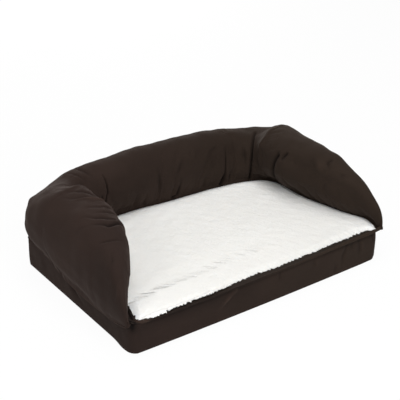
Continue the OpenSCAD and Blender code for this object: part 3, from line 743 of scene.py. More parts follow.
def makeBolster():
    # the plain section moved along its normals by waves, pushes, pleats, folds and the simulated
    # creases, closed by the underside and two round ends
    lines = bolsterLines()
    stations = stationsAt(lines)
    rings = ringPoints(stations, phiLine)
    outward = -gridNormals(rings)
    around = phiLine / bolster["wrapAngle"]
    toTip = np.minimum(lines, bolsterLength - lines)
    # the seams stay in place and the cloth between them moves
    free = smooth((1 - np.abs(around)) / skin["seamHold"])[None, :] * smooth(toTip / skin["tipHold"])[:, None]
    # gathers that rise from the inner seam
    lengthIn = runAlong(rings[:, skin["pleatLine"]])
    pleat = ripples(np.stack([lengthIn, 0 * lengthIn, 0 * lengthIn], -1), skin["pleats"])[:, None]
    foot = smooth((around - skin["pleatFrom"]) / skin["pleatReach"]) \
        * smooth((skin["pleatTo"] - around) / skin["pleatFade"])
    move = ripples(rings, skin["waves"]) * free + skin["pleatDepth"] * pleat * foot[None, :] \
        + bellsAt(lines, around, pushes)
    # painted light and shade: the broad marks first
    napAndPaintedLight = bellsAt(lines, around, paintedShadeMarks)
    for width, depth, ends, line in folds:
        dent = grooveDepth(rings, foldPath(line), width, depth, ends)
        move -= dent * skin["foldDepth"]
        # painted shade in the folds, painted highlight on the ridges
        napAndPaintedLight += np.clip(dent * skin["foldShade"], *skin["foldLimits"])
    inner = creasing["outerShare"] + (1 - creasing["outerShare"]) \
        * smooth((around + creasing["innerFrom"]) / creasing["innerReach"])
    move += simulateCover(rings) * smooth(toTip / creasing["tipFade"])[:, None] * inner[None, :]
    rings = rings + outward * move[..., None]
    # the underside: up inside the outer seam to the deck, then across to the inner seam
    rest = bed["deck"] + skin["rest"]
    footOut = standing(stations, stations["footOut"], bed["deck"] - stations["sag"])
    footIn = standing(stations, stations["footIn"], rest)
    bottom = [footIn + (footOut - footIn) * share for share in skin["underShares"]]
    for line in bottom:
        line[:, 2] = rest
    footOut[:, 2] = np.minimum(footOut[:, 2] + skin["turnedIn"] * stations["hang"], rest)
    under = [line[:, None] for line in bottom + [footOut]]
    rings = np.concatenate([rings] + under, 1)
    startRings, startPoint = roundEnd(rings[0], np.array([0, -1.0, 0]))
    lastRings, lastPoint = roundEnd(rings[-1], np.array([0, -1.0, 0]))
    napAndPaintedLight = np.pad(napAndPaintedLight, ((len(startRings), len(lastRings)), (0, len(under))))
    rings = np.concatenate([np.array(startRings[::-1]), rings, np.array(lastRings)])
    n, m = rings.shape[:2]
    lengthAlong = runAlong(rings[:, m // 2])
    coordinates = pairs(lengthAlong, np.linspace(0, skin["clothRound"], m)).reshape(-1, 2)
    middle = skin["clothRound"] / 2
    coordinates = np.concatenate([coordinates, [[0, middle]], [[lengthAlong[-1], middle]]])
    points = np.concatenate([rings.reshape(-1, 3), [startPoint], [lastPoint]])
    return makePiece("bolster", points, gridQuads(n, m, wrap=True, flip=True), endFans(n, m, True),
                     coordinates, np.append(napAndPaintedLight.ravel(), [0, 0]))


bolsterPiece = makeBolster()
bolsterPiece.data.materials.append(coverCloth)
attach(bolsterPiece, "bed")
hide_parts("left_arm_cover", "back_cover", "right_arm_cover", "left_arm_filling",
            "back_filling", "right_arm_filling", "bolster_bottom_lining")
print("bolster made,", len(bolsterPiece.data.polygons), "faces")


# Rolled seam along the bolster's outer foot
footSeam = {"inset": 0.004, "lines": 700, "radius": 0.0021, "out": 0.0006, "up": 0.0002, "sides": 8,
            "bumps": 0.08}


def makeOuterSeam():
    # a tube just outside the line of the outer foot
    st = stationsAt(np.linspace(footSeam["inset"], bolsterLength - footSeam["inset"], footSeam["lines"]))
    path = standing(st, st["footOut"] + footSeam["out"], bed["deck"] - st["sag"] + footSeam["up"])
    return makeTube("bolster_outer_seam", path, footSeam["radius"], footSeam["sides"], footSeam["bumps"])


outerSeam = makeOuterSeam()
outerSeam.data.materials.append(rollCloth)
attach(outerSeam, "bed")


# The base's outline: a rectangle with round corners, walked round from the middle of the back
corners = {"backRight": 0.018, "frontRight": 0.026, "frontLeft": 0.020, "backLeft": 0.017}


def outlineAt(run):
    # straight legs and quarter circles, each corner with its own radius: run is the distance
    # walked, and the result is the place and the outward direction there
    radii = list(corners.values())
    halfX, halfY = bed["width"] / 2, bed["depth"] / 2
    signs = [(1, 1), (1, -1), (-1, -1), (-1, 1)]
    legs = [halfX - radii[0], bed["depth"] - radii[0] - radii[1], bed["width"] - radii[1] - radii[2],
            bed["depth"] - radii[2] - radii[3], halfX - radii[3]]
    lengths = [legs[0]]
    for index, radius in enumerate(radii):
        lengths += [radius * math.pi / 2, legs[index + 1]]
    ends = np.concatenate([[0], np.cumsum(lengths)])
    run = np.mod(np.asarray(run, float), ends[-1])
    leg = np.clip(np.searchsorted(ends, run, side="right") - 1, 0, len(lengths) - 1)
    into = run - ends[leg]
    spots, normals = np.zeros((len(run), 2)), np.zeros((len(run), 2))
    for index in range(len(lengths)):
        here = leg == index
        corner = (index + 1) // 2
        if index % 2:
            radius, (sx, sy) = radii[corner - 1], signs[corner - 1]
            angle = math.pi / 2 * (1 - (corner - 1)) - into[here] / radius
            normal = np.stack([np.cos(angle), np.sin(angle)], -1)
            spots[here] = [sx * (halfX - radius), sy * (halfY - radius)] + radius * normal
        else:
            angle = math.pi / 2 * (1 - corner)
            normal = np.array([math.cos(angle), math.sin(angle)])
            forward = np.array([normal[1], -normal[0]])
            first = [(0, halfY), (halfX, halfY - radii[0]), (halfX - radii[1], -halfY),
                     (-halfX, -halfY + radii[2]), (-halfX + radii[3], halfY)][corner]
            spots[here] = np.array(first) + into[here][:, None] * forward
        normals[here] = normal
    return spots, normals, ends[-1]


band = {"bulge": 0.0016, "bulgePower": 0.7, "frontBow": 0.0045, "bowPower": 0.8, "edgeRound": 0.0050,
        "overDeck": 0.0008, "fromFloor": 0.0004, "topFold": 0.003, "topRise": 0.0038, "topLines": 7,
        "zipHalf": 0.280, "zipMiddle": 0.038, "zipWindow": 0.012, "lines": 900, "heights": 30,
        "zipLines": 240, "zipHeights": 14, "waves": [(0.0007, 0.09, 11), (0.0003, 0.03, 12)],
        "lift": 0.006, "liftReach": 0.030, "liftHeight": 1.6, "liftIn": 0.7, "spread": 0.0045,
        "spreadAt": -0.222, "spreadReach": 0.030}
# A place is on the front or the left where its outward direction's y or x is less than this
facing = {"front": -0.5, "left": -0.3}
# Folds of the band: width, depth, the ends' shares, the painted shade in them (below 0 a painted
# highlight) and their places in the frame; a depth below 0 is a ridge
bandFolds = [
    (0.0034, 0.0028, (0.3, 0.1), 0.26, [(-0.089, -0.2625, 0.071), (-0.118, -0.2625, 0.050),
        (-0.1425, -0.2625, 0.028)]),
    (0.0046, -0.0022, (1.4, 0.1), -0.42, [(-0.092, -0.2625, 0.074), (-0.122, -0.2625, 0.052),
        (-0.1465, -0.2625, 0.026)]),
    (0.0036, -0.0010, (0.8, 0.4), -0.30, [(-0.112, -0.2625, 0.060), (-0.124, -0.2625, 0.050)]),
    (0.0036, 0.0020, (1.0, 0.2), 0.30, [(0.044, -0.2625, 0.070), (0.042, -0.2625, 0.052)]),
    (0.0040, 0.0018, (1.0, 0.1), 0.16, [(0.155, -0.262, 0.069), (0.160, -0.262, 0.050)]),
    (0.0040, -0.0012, (1.0, 0.1), -0.14, [(0.166, -0.262, 0.066), (0.168, -0.262, 0.048)]),
    (0.0044, 0.0016, (0.6, 0.8), 0.24, [(0.232, -0.261, 0.030), (0.230, -0.261, 0.012)]),
    (0.0040, 0.0026, (1.0, 0.2), 0.34, [(0.268, -0.261, 0.074), (0.256, -0.261, 0.052),
        (0.254, -0.261, 0.018)]),
    (0.0046, 0.0018, (1.0, 0.2), 0.34, [(0.285, -0.260, 0.072), (0.282, -0.260, 0.060)]),
    (0.0042, 0.0024, (1.0, 0.1), 0.30, [(0.312, -0.260, 0.074), (0.314, -0.260, 0.030)]),
    (0.0036, -0.0012, (1.0, 0.1), -0.14, [(0.322, -0.260, 0.070), (0.326, -0.260, 0.034)]),
    (0.0044, 0.0022, (1.0, 0.2), 0.36, [(0.358, -0.258, 0.073), (0.364, -0.258, 0.050)]),
    (0.0045, 0.0034, (0.6, 0.1), 0.20, [(-0.3855, 0.030, 0.052), (-0.3855, 0.018, 0.045),
        (-0.3855, -0.034, 0.022)]),
    # painted shadow lines along the front's top edge, under the roll
    (0.0022, 0.0006, (0.9, 0.9), 0.26, [(-0.345, -0.2595, 0.0748), (-0.170, -0.2625, 0.0748),
        (-0.02, -0.2635, 0.0748)]),
    (0.0022, 0.0006, (0.9, 0.9), 0.26, [(-0.018, -0.2635, 0.0745), (0.190, -0.2625, 0.0745)]),
    (0.0022, 0.0008, (0.7, 1.0), 0.46, [(0.191, -0.2625, 0.0745), (0.372, -0.2595, 0.0745)]),
    # painted shade in the dark hole beside the left arm's tip
    (0.0050, 0.0024, (1.0, 0.5), 0.95, [(-0.3818, -0.2507, 0.0750), (-0.3812, -0.2513, 0.0650)]),
]
# Broad painted shade on the band: over its left side, as a painted shadow along the front's top edge under
# the roll, and in patches on the front
bandPaintedShade = [
    ((-0.385, 0.240, 0.040), (0.05, 0.16, 0.12), 0.05),
    ((-0.385, -0.140, 0.040), (0.05, 0.15, 0.12), 0.30),
    ((-0.260, -0.262, 0.076), (0.12, 0.05, 0.018), 0.40),
    ((-0.120, -0.262, 0.076), (0.10, 0.05, 0.030), 0.25),
    ((0.000, -0.262, 0.040), (0.60, 0.05, 0.20), 0.09),
    ((-0.290, -0.262, 0.010), (0.07, 0.05, 0.030), 0.10),
    ((0.120, -0.262, 0.030), (0.05, 0.05, 0.040), 0.08),
]
# Pale line where the foot's seam is turned in, uneven along the foot
hem = {"at": 0.0056, "width": 0.0022, "by": -0.20, "even": 0.7, "uneven": [(0.5, 0.03, 13)]}


def bandProfile(heights):
    # how far the band stands out at each height: a shallow arch, drawn in round the top seam
    high = bed["deck"] + band["overDeck"] - heights
    arch = band["bulge"] * np.sin(np.clip(heights / bed["deck"], 0, 1) * math.pi) ** band["bulgePower"]
    r = band["edgeRound"]
    return arch - (r - np.sqrt(np.maximum(r * r - np.clip(r - high, 0, r) ** 2, 0)))


def bowAt(spots, normals):
    # the front bows out a little between its corners: a sine over its width to a power
    across = np.clip(0.5 + spots[:, 0] / bed["width"], 0, 1)
    bow = band["frontBow"] * np.sin(across * math.pi) ** band["bowPower"]
    return bow * (normals[:, 1] < facing["front"])


def bandSurface(runs, heights):
    # the outer face of the band: outline, arch over the height, waves and folds
    spots, normals, _ = outlineAt(runs)
    outward = normals[:, None, :]
    stand = bandProfile(heights)[None, :] + bowAt(spots, normals)[:, None]
    points = np.concatenate([spots[:, None] + outward * stand[..., None],
                             np.broadcast_to(heights[None, :, None], stand.shape + (1,))], -1)
    middle = np.sin(np.clip(heights / bed["deck"], 0, 1) * math.pi)[None, :]
    move = ripples(points, band["waves"]) * middle
    napAndPaintedLight = 0.0 * move
    # painted shade of the broad marks
    for place, reach, by in bandPaintedShade:
        napAndPaintedLight += by * np.exp(-(((points - place) / reach) ** 2).sum(-1))
    # painted shade in the folds, painted highlight on the ridges
    for width, depth, ends, paintedShading, line in bandFolds:
        dent = grooveDepth(points, line, width, depth, ends)
        move -= dent
        napAndPaintedLight += paintedShading * np.clip(dent / depth, 0, 1)
    napAndPaintedLight += hem["by"] * np.exp(-((points[..., 2] - hem["at"]) / hem["width"]) ** 2) \
        * (hem["even"] + ripples(points, hem["uneven"]))
    points[..., :2] += outward * move[..., None]
    # the right front corner's foot is drawn up and in
    corner = np.array([bed["width"] / 2, -bed["depth"] / 2])
    close = np.exp(-(np.linalg.norm(spots - corner, axis=1) / band["liftReach"]) ** 2)[:, None]
    foot = np.clip(1 - heights / (band["liftHeight"] * band["lift"]), 0, 1)[None, :] ** 2
    points[..., :2] -= outward * (band["lift"] * band["liftIn"] * close * foot)[..., None]
    # the left side's foot spreads towards its front corner
    spread = np.exp(-((spots[:, 1] - band["spreadAt"]) / band["spreadReach"]) ** 2)
    spread = band["spread"] * (spread * (normals[:, 0] < facing["left"]))[:, None]
    points[..., :2] += outward * (spread * (1 - heights / bed["deck"])[None])[..., None]
    return points, napAndPaintedLight


def makeBand(name, runs, heights):
    # the band's outer face, with its wall inwards
    points, napAndPaintedLight = bandSurface(runs, heights)
    quads = gridQuads(*points.shape[:2])
    return thicken(makePiece(name, points, quads, (), pairs(runs, heights), napAndPaintedLight), bed["cloth"])


# Heights of the band's rows: even steps up to where it turns in, then round to the top seam
turnIn = bed["deck"] - band["topFold"]
quarter = np.sin(np.linspace(0, 0.5, band["topLines"])[1:] * math.pi)
topHeights = turnIn + band["topRise"] * quarter
windowLow = band["zipMiddle"] - band["zipWindow"] / 2
windowHigh = band["zipMiddle"] + band["zipWindow"] / 2
fullHeights = np.concatenate([np.linspace(band["fromFloor"], turnIn, band["heights"]), topHeights])
lowHeights = np.linspace(band["fromFloor"], windowLow, band["zipHeights"])
highHeights = np.concatenate([np.linspace(windowHigh, turnIn, band["zipHeights"]), topHeights])
outlineLength = outlineAt(np.zeros(1))[2]
bandRuns = np.linspace(band["zipHalf"], outlineLength - band["zipHalf"], band["lines"])
zipRuns = np.linspace(-band["zipHalf"], band["zipHalf"], band["zipLines"])
zipLength = 2 * band["zipHalf"]
for name, node, runs, heights, flat in (
        ("side_band", "base_side_band", bandRuns, fullHeights, (bed["deck"], outlineLength - zipLength)),
        ("zip_band_below", "zip_band_lower", zipRuns, lowHeights, (windowLow, zipLength)),
        ("zip_band_above", "zip_band_upper", zipRuns, highHeights, (bed["deck"] - windowHigh, zipLength))):
    piece = makeBand(name, runs, heights)
    piece.data.materials.append(coverCloth)
    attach(piece, "bed")
    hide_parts(node)
print("side band made")

# Zip tapes behind the window, each with its inner edge in the teeth and sewn to the band further out
zipTape = {"near": 0.0024, "far": 0.0154, "face": 0.2567, "thick": 0.0004, "bendFrom": 0.0043,
           "bendTo": 0.0066, "across": 22, "lines": 420, "clearance": 0.0003}
stitch = {"pitch": 0.0036, "length": 0.0027, "radius": 0.00028, "fromEdge": 0.0024, "rise": 0.00012,
          "rings": 7, "sides": 6, "dip": 1.6, "dipPower": 4, "taperPower": 6, "thinnest": 0.04,
          "fromEnd": 0.004}

tapeCloth = Finish("zip tape", Roughness=0.75, Specular_IOR_Level=0.25)
surface = tapeCloth.clothPlace()
ribs = tapeCloth.stripes(surface, "X", 420.0, Distortion=0.6, Detail=1.0)
rows = tapeCloth.stripes(surface, "Y", 260.0)
worn = tapeCloth.noise(surface, 120.0, 3.0)
tapeCloth.feed("Base Color", tapeCloth.mixColour(ribs * 0.5 + worn * 0.5, (0.0050, 0.0045, 0.0045, 1),
                                                 (0.0150, 0.0135, 0.0130, 1)))
tapeCloth.feed("Normal", tapeCloth.bump(ribs * 0.6 + rows * 0.4, 0.00018, 0.8))


def makeTape(name, side):
    # flat near the teeth, then bent out to lie against the inside of the band
    runs = np.linspace(-band["zipHalf"], band["zipHalf"], zipTape["lines"])
    away = np.linspace(zipTape["near"], zipTape["far"], zipTape["across"])
    points, _ = bandSurface(runs, band["zipMiddle"] + side * away)
    sewn = points[..., 1] - bed["cloth"] - zipTape["clearance"]
    bend = smooth((away - zipTape["bendFrom"]) / (zipTape["bendTo"] - zipTape["bendFrom"]))
    points[..., 1] = zipTape["face"] + (sewn - zipTape["face"]) * bend[None]
    points[..., 0] = runs[:, None]
    quads = gridQuads(*points.shape[:2], flip=side < 0)
    return thicken(makePiece(name, points, quads, (), pairs(runs, side * away)), zipTape["thick"])


def makeStitches(name, runs, height):
    # short threads end to end: each a thin tube whose ends dip into the cloth
    places, _ = bandSurface(runs, np.array([height]))
    _, normals, _ = outlineAt(runs)
    steps = np.linspace(-1, 1, stitch["rings"])
    turn = np.linspace(0, 2 * math.pi, stitch["sides"], endpoint=False)
    along = np.stack([normals[:, 1], -normals[:, 0], 0 * normals[:, 0]], -1)
    outward = np.concatenate([normals, 0 * normals[:, :1]], -1)
    dip = stitch["rise"] - stitch["radius"] * stitch["dip"] * steps ** stitch["dipPower"]
    path = places[:, 0, None] + along[:, None] * (steps * stitch["length"] / 2)[None, :, None] \
        + outward[:, None] * dip[None, :, None]
    thin = stitch["radius"] * np.sqrt(np.maximum(1 - steps ** stitch["taperPower"], stitch["thinnest"]))
    rings = path[:, :, None] + thin[None, :, None, None] * (
        outward[:, None, None] * np.cos(turn)[None, None, :, None]
        + np.array([0, 0, 1.0]) * np.sin(turn)[None, None, :, None])
    count, n, m = rings.shape[:3]
    quads = (gridQuads(n, m, wrap=True)[None] + (np.arange(count) * n * m)[:, None, None]).reshape(-1, 4)
    edges = np.stack([np.arange(m), np.roll(np.arange(m), -1)], -1)
    first = count * n * m + np.arange(count)
    caps = []
    for index in range(2):
        ring = (np.arange(count) * n * m + index * (n - 1) * m)[:, None, None] + edges[None]
        tip = np.broadcast_to((first + index * count)[:, None, None], (count, m, 1))
        caps.append(np.concatenate([ring if index == 0 else ring[..., ::-1], tip], -1).reshape(-1, 3))
    points = np.concatenate([rings.reshape(-1, 3), path[:, 0], path[:, -1]])
    return makePiece(name, points, quads, np.concatenate(caps))


threadCloth = Finish("sewing thread", Roughness=0.6, Specular_IOR_Level=0.3)
twist = threadCloth.stripes(threadCloth.place(), "DIAGONAL", 900.0, Distortion=0.4)
threadCloth.feed("Base Color", threadCloth.mixColour(twist, (0.012, 0.009, 0.007, 1),
                                                     (0.040, 0.030, 0.024, 1)))
threadCloth.feed("Normal", threadCloth.bump(twist, 0.0001, 0.7))

for name, side in (("zip_tape_above", 1), ("zip_tape_below", -1)):
    tape = makeTape(name, side)
    tape.data.materials.append(tapeCloth.material)
    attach(tape, "bed")
    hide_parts("zip_tape_upper" if side > 0 else "zip_tape_lower")
sewing = np.arange(-band["zipHalf"] + stitch["fromEnd"], band["zipHalf"] - stitch["fromEnd"], stitch["pitch"])
for name, side in (("stitches_above_zip", 1), ("stitches_below_zip", -1)):
    row = makeStitches(name, sewing, band["zipMiddle"] + side * (band["zipWindow"] / 2 + stitch["fromEdge"]))
    row.data.materials.append(threadCloth.material)
    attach(row, "bed")
print("zip tapes and stitches made")

# Finishes of the zip's hard parts, which keep their solid shapes
toothPlastic = Finish("zip plastic", Roughness=0.4, Specular_IOR_Level=0.5)
scuff = toothPlastic.noise(toothPlastic.place(), 300.0, 4.0, 0.7)
toothPlastic.feed("Base Color", toothPlastic.mixColour(scuff, (0.006, 0.0055, 0.0055, 1),
                                                       (0.022, 0.020, 0.020, 1)))
toothPlastic.feed("Roughness", 0.3 + 0.3 * scuff)
toothPlastic.feed("Normal", toothPlastic.bump(scuff, 0.0001, 0.4))

zipSteel = Finish("zip metal", Metallic=1.0, Roughness=0.3)
place = zipSteel.place()
brushed = zipSteel.noise(place, 60.0, 3.0, 0.6, (40.0, 3.0, 3.0))
tarnish = zipSteel.noise(place, 160.0, 4.0, 0.6)
zipSteel.feed("Base Color", zipSteel.mixColour(tarnish, (0.22, 0.22, 0.225, 1), (0.50, 0.50, 0.51, 1)))
zipSteel.feed("Roughness", 0.22 + 0.25 * tarnish + 0.1 * brushed)
zipSteel.feed("Normal", zipSteel.bump(brushed, 0.00006, 0.5))
for node, finish in (("zip_teeth_upper", toothPlastic), ("zip_teeth_lower", toothPlastic),
                     ("zip_end_stops", zipSteel), ("zip_slider", zipSteel), ("zip_pull", zipSteel)):
    solid = bpy.data.objects[node]
    for slot in solid.material_slots:
        slot.material = finish.material
print("zip finished")


# Deck and underside: the outline's rings, closer together towards the rim
deck = {"lines": 800, "rings": 34, "towardsRim": 1.8, "inset": 0.0016, "underInset": 0.0004,
        "crumple": 0.0022, "crumpleAt": (-0.374, -0.235), "crumpleReach": 0.030, "ridges": (700.0, 260.0, 0),
        "ridgeWaves": [(2.5, 0.02, 61)], "darkest": 0.95, "paler": 1.4, "paleFrom": 0.3, "paleReach": 0.6,
        "slack": 0.0003, "slackWaves": [(1.0, 0.03, 62)]}


def makePanel(name, level, up, inset, crumple):
    # concentric copies of the outline about the middle, each a smaller share of it
    spots, normals, _ = outlineAt(np.linspace(0, outlineLength, deck["lines"], endpoint=False))
    bow = bowAt(spots, normals)[:, None] * normals
    rim = spots - normals * inset + bow
    shares = 1 - np.linspace(0, 1, deck["rings"], endpoint=False) ** deck["towardsRim"]
    points = rim[None] * shares[:, None, None]
    points = np.concatenate([points, np.full(points.shape[:2] + (1,), level)], -1)
    napAndPaintedLight = np.zeros(points.shape[:2])
    if crumple:
        at = np.array([*deck["crumpleAt"], level])
        away = np.linalg.norm(points - at, axis=-1) / deck["crumpleReach"]
        ridges = np.sin(points @ np.array(deck["ridges"]) + ripples(points, deck["ridgeWaves"]))
        points[..., 2] += deck["crumple"] * (1 + ridges) * np.exp(-away ** 2)
        # painted shade over the crumpled corner by the left arm's tip, with painted highlights on its ridges
        pale = deck["paler"] * smooth((ridges - deck["paleFrom"]) / deck["paleReach"])
        napAndPaintedLight = (deck["darkest"] - pale) * np.exp(-away ** 4)
        points[..., 2] += deck["slack"] * (1 + ripples(points, deck["slackWaves"]))
    n, m = points.shape[:2]
    flat = np.concatenate([points.reshape(-1, 3), [[0, 0, level]]])
    tip = fan(np.arange((n - 1) * m, n * m), n * m, up)
    panel = makePiece(name, flat, gridQuads(n, m, wrap=True, flip=up), tip, flat[:, :2].copy(),
                      np.append(napAndPaintedLight.ravel(), 0))
    return thicken(panel, bed["cloth"])


deckPanel = makePanel("deck_cloth", bed["deck"], True, deck["inset"], True)
deckPanel.data.materials.append(liningCloth)
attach(deckPanel, "bed")
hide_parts("deck_panel")

underFinish = Finish("underside cloth", Roughness=0.8, Specular_IOR_Level=0.25)
place = underFinish.place()
grip = underFinish.add("TexVoronoi", {"feature": "F1", "distance": "EUCLIDEAN"},
                       {"Vector": place, "Scale": 110.0, "Randomness": 0.0}, "Distance")
dot = underFinish.add("MapRange", {"interpolation_type": "SMOOTHSTEP"},
                      {"Value": grip, "From Min": 0.24, "From Max": 0.30, "To Min": 1.0, "To Max": 0.0})
mottle = underFinish.noise(place, 60.0, 3.0)
weft = underFinish.mixColour(mottle, (0.014, 0.014, 0.014, 1), (0.026, 0.026, 0.025, 1))
underFinish.feed("Base Color", underFinish.mixColour(dot, weft, (0.007, 0.007, 0.007, 1)))
underFinish.feed("Roughness", 0.85 - 0.4 * dot)
underFinish.feed("Normal", underFinish.bump(dot + 0.3 * underFinish.noise(place, 800.0, 2.0), 0.0004, 0.6))
bottomPanel = makePanel("underside_cloth", bed["bottom"], False, deck["underInset"], False)
bottomPanel.data.materials.append(underFinish.material)
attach(bottomPanel, "bed")
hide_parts("base_bottom_panel")
print("deck and underside made")


# Foam slabs inside the cover
foam = {"supportBase": 0.0012, "supportTop": 0.0472, "memoryTop": 0.076, "gap": 0.0015, "backGap": 0.0042,
        "round": 0.003, "lines": 500, "rings": 12, "turnSteps": 6, "faceShares": (0.3, 0.7),
        "waves": [(0.0003, 0.05, 71)]}


def makeSlab(name, low, high):
    # a stack of outlines with rounded edges, closed above and below by shrinking rings
    spots, normals, _ = outlineAt(np.linspace(0, outlineLength, foam["lines"], endpoint=False))
    squeeze = np.array([1.0, 1 - (foam["backGap"] - foam["gap"]) / bed["depth"]])
    rim = (spots - normals * foam["gap"]) * squeeze - [0, (foam["backGap"] - foam["gap"]) / 2]
    turn = np.linspace(0, math.pi / 2, foam["turnSteps"])
    r = foam["round"]
    stack = [(low + r - r * np.sin(a), r - r * np.cos(a)) for a in turn[::-1]]
    stack += [(level, 0.0) for level in np.linspace(low + r, high - r, foam["rings"])[1:-1]]
    stack += [(high - r + r * np.sin(a), r - r * np.cos(a)) for a in turn]
    ringAt = lambda ring, level: np.concatenate([ring, np.full((len(rim), 1), level)], -1)
    rings = [ringAt(rim * share, low) for share in foam["faceShares"]]
    rings += [ringAt(rim - normals * inward, level) for level, inward in stack]
    rings += [ringAt(rim * share, high) for share in foam["faceShares"][::-1]]
    points = np.array(rings)
    points[..., :2] += ripples(points, foam["waves"])[..., None] * normals[None]
    n, m = points.shape[:2]
    flat = np.concatenate([points.reshape(-1, 3), [[0, 0, low]], [[0, 0, high]]])
    return makePiece(name, flat, gridQuads(n, m, wrap=True), endFans(n, m))


def foamFinish(name, pale, deep, cells):
    # open cells: small round pits, and a slow drift of colour
    foamy = Finish(name, Roughness=0.95, Specular_IOR_Level=0.1)
    place = foamy.place()
    pits = foamy.add("TexVoronoi", {"feature": "SMOOTH_F1"}, {"Vector": place, "Scale": cells}, "Distance")
    drifted = foamy.noise(place, 9.0, 3.0)
    foamy.feed("Base Color", foamy.mixColour(pits * 0.7 + drifted * 0.3, (*deep, 1), (*pale, 1)))
    foamy.feed("Normal", foamy.bump(pits, 0.0008, 0.7))
    return foamy.material


for name, node, low, high, finish in (
        ("support_slab", "support_foam", foam["supportBase"], foam["supportTop"],
         foamFinish("support foam", (0.80, 0.72, 0.45), (0.58, 0.50, 0.29), 700.0)),
        ("memory_slab", "memory_foam", foam["supportTop"], foam["memoryTop"],
         foamFinish("memory foam", (0.34, 0.38, 0.43), (0.22, 0.25, 0.29), 1100.0))):
    slab = makeSlab(name, low, high)
    slab.data.materials.append(finish)
    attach(slab, "bed")
    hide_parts(node)
print("foam made")


# Rolled seam round the pile panel: from behind the left arm round the left corner, along the
# front and up into the right arm's tip
roll = {"radius": 0.0045, "level": 0.0806, "lines": 620, "sides": 14, "bumps": 0.10,
        "waves": [(0.0004, 0.05, 81)], "cornerShade": 1.0, "cornerFrom": -0.2500, "cornerReach": 0.02,
        "cutShare": 0.25, "cuts": 3}
# The roll's points, each with its share of the radius, and its painted shade along x, below 0 a painted
# highlight
rollPath = [
    (-0.3500, -0.180, 0.0, 0.5), (-0.3570, -0.200, 0.0, 0.9), (-0.3650, -0.225, 0.0, 1.0),
    (-0.3690, -0.240, 0.0, 1.0), (-0.3665, -0.2500, 0.0, 1.0), (-0.3560, -0.2560, 0.0, 1.0),
    (-0.330, -0.2585, -0.0010, 0.7), (-0.280, -0.2610, -0.0025, 0.4), (-0.200, -0.2625, -0.0025, 0.35),
    (-0.100, -0.2632, -0.0020, 0.35), (0.0, -0.2632, -0.0012, 0.45), (0.100, -0.2622, -0.0006, 0.55),
    (0.200, -0.2600, 0.0006, 0.70), (0.280, -0.2572, 0.0014, 0.85), (0.340, -0.2550, 0.0016, 0.95),
    (0.375, -0.2545, 0.0016, 1.0), (0.390, -0.2530, 0.0020, 1.0), (0.400, -0.2480, 0.0035, 0.95),
    (0.4045, -0.2400, 0.0070, 0.85), (0.4055, -0.2300, 0.0120, 0.6),
]
rollShadeTable = [(-0.360, -0.15), (-0.345, -0.10), (-0.330, 0.60), (-0.05, 0.65), (0.05, 0.30), (0.142, 0.05),
           (0.22, 0.0)]


def curveThrough(points, count):
    # corners of a line cut off at a quarter of each step, several times, then evenly spaced
    line = np.asarray(points, float)
    far, near = 1 - roll["cutShare"], roll["cutShare"]
    for _ in range(roll["cuts"]):
        cut = np.stack([line[:-1] * far + line[1:] * near, line[:-1] * near + line[1:] * far], 1)
        line = np.concatenate([line[:1], cut.reshape(-1, line.shape[1]), line[-1:]])
    return evenly(line, count)


rollLine = curveThrough(rollPath, roll["lines"])
rollLine[:, 2] += roll["level"] + ripples(rollLine[:, :3], roll["waves"])
# painted shade along the roll by x, a painted highlight at its left end, and painted shade in the left arm's
# tip corner
rollPaintedShade = np.interp(rollLine[:, 0], *zip(*rollShadeTable))
inTip = smooth((rollLine[:, 1] - roll["cornerFrom"]) / roll["cornerReach"]) * (rollLine[:, 0] < 0)
rollPaintedShade += roll["cornerShade"] * inTip
rollPiece = makeTube("front_roll", rollLine[:, :3], roll["radius"] * rollLine[:, 3], roll["sides"],
                     roll["bumps"], rollPaintedShade)
rollPiece.data.materials.append(rollCloth)
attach(rollPiece, "bed")
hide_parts("front_edge_roll")
print("roll made")


# Pile panel
fleece = {"edgeHeight": 0.009, "crown": 0.004, "rim": 0.030, "rimShare": 0.35, "crownReach": 0.150,
          "columns": 420, "rows": 300, "rollSize": 0.008, "seamGap": 0.001, "seamPoints": 400,
          "backPoints": 600, "smoothReach": 0.015, "smoothSteps": 9, "endFade": 0.03, "farAway": 9.0,
          "edgeParts": 12, "edgeEvery": 4, "pileFade": 0.006, "underGap": 0.0002, "ragged": 0.0022,
          "rough": [(0.7, 0.016, 24), (0.9, 0.007, 25), (0.5, 0.0042, 26)],
          "pile": [(0.0004, 0.035, 21), (0.0002, 0.011, 22, 30), (0.00025, 0.005, 23, 40)],
          "lip": 0.0062, "lipFrom": -0.2435, "lipReach": 0.0095, "seamLightReach": 0.042,
          "leftLimit": [(-0.30, 0.362), (-0.231, 0.362), (-0.197, 0.3520), (-0.178, 0.344), (-0.16, 0.40)],
          "rightLimit": [(-0.30, 0.384), (-0.241, 0.3856), (-0.225, 0.394), (-0.20, 0.400), (-0.16, 0.40)]}
# How far the front edge stands out, at places from left to right
frontOut = [(-0.385, 0.000), (-0.345, 0.004), (-0.328, 0.0130), (-0.30, 0.0110), (-0.27, 0.004),
            (-0.22, 0.004), (-0.16, 0.005), (-0.10, 0.0000), (-0.06, -0.0100), (-0.01, -0.0110),
            (0.03, -0.0050), (0.12, -0.008), (0.20, -0.011), (0.25, -0.013), (0.33, -0.0135), (0.385, -0.016)]
fleeceFront = -bed["depth"] / 2 + fleece["rollSize"] + bed["softGap"]


def fleeceSide(start, end, count):
    # the bolster's inner seam from one distance along it to another, kept within the side's limit
    st = stationsAt(np.linspace(start, end, count))
    x, y, _ = standing(st, st["footIn"] - fleece["seamGap"], bed["deck"]).T
    for limits, sign in ((fleece["leftLimit"], -1), (fleece["rightLimit"], 1)):
        limit = np.interp(y, *zip(*limits))
        x = np.where(sign * x > limit, sign * limit, x)
    return np.stack([x, y], -1)


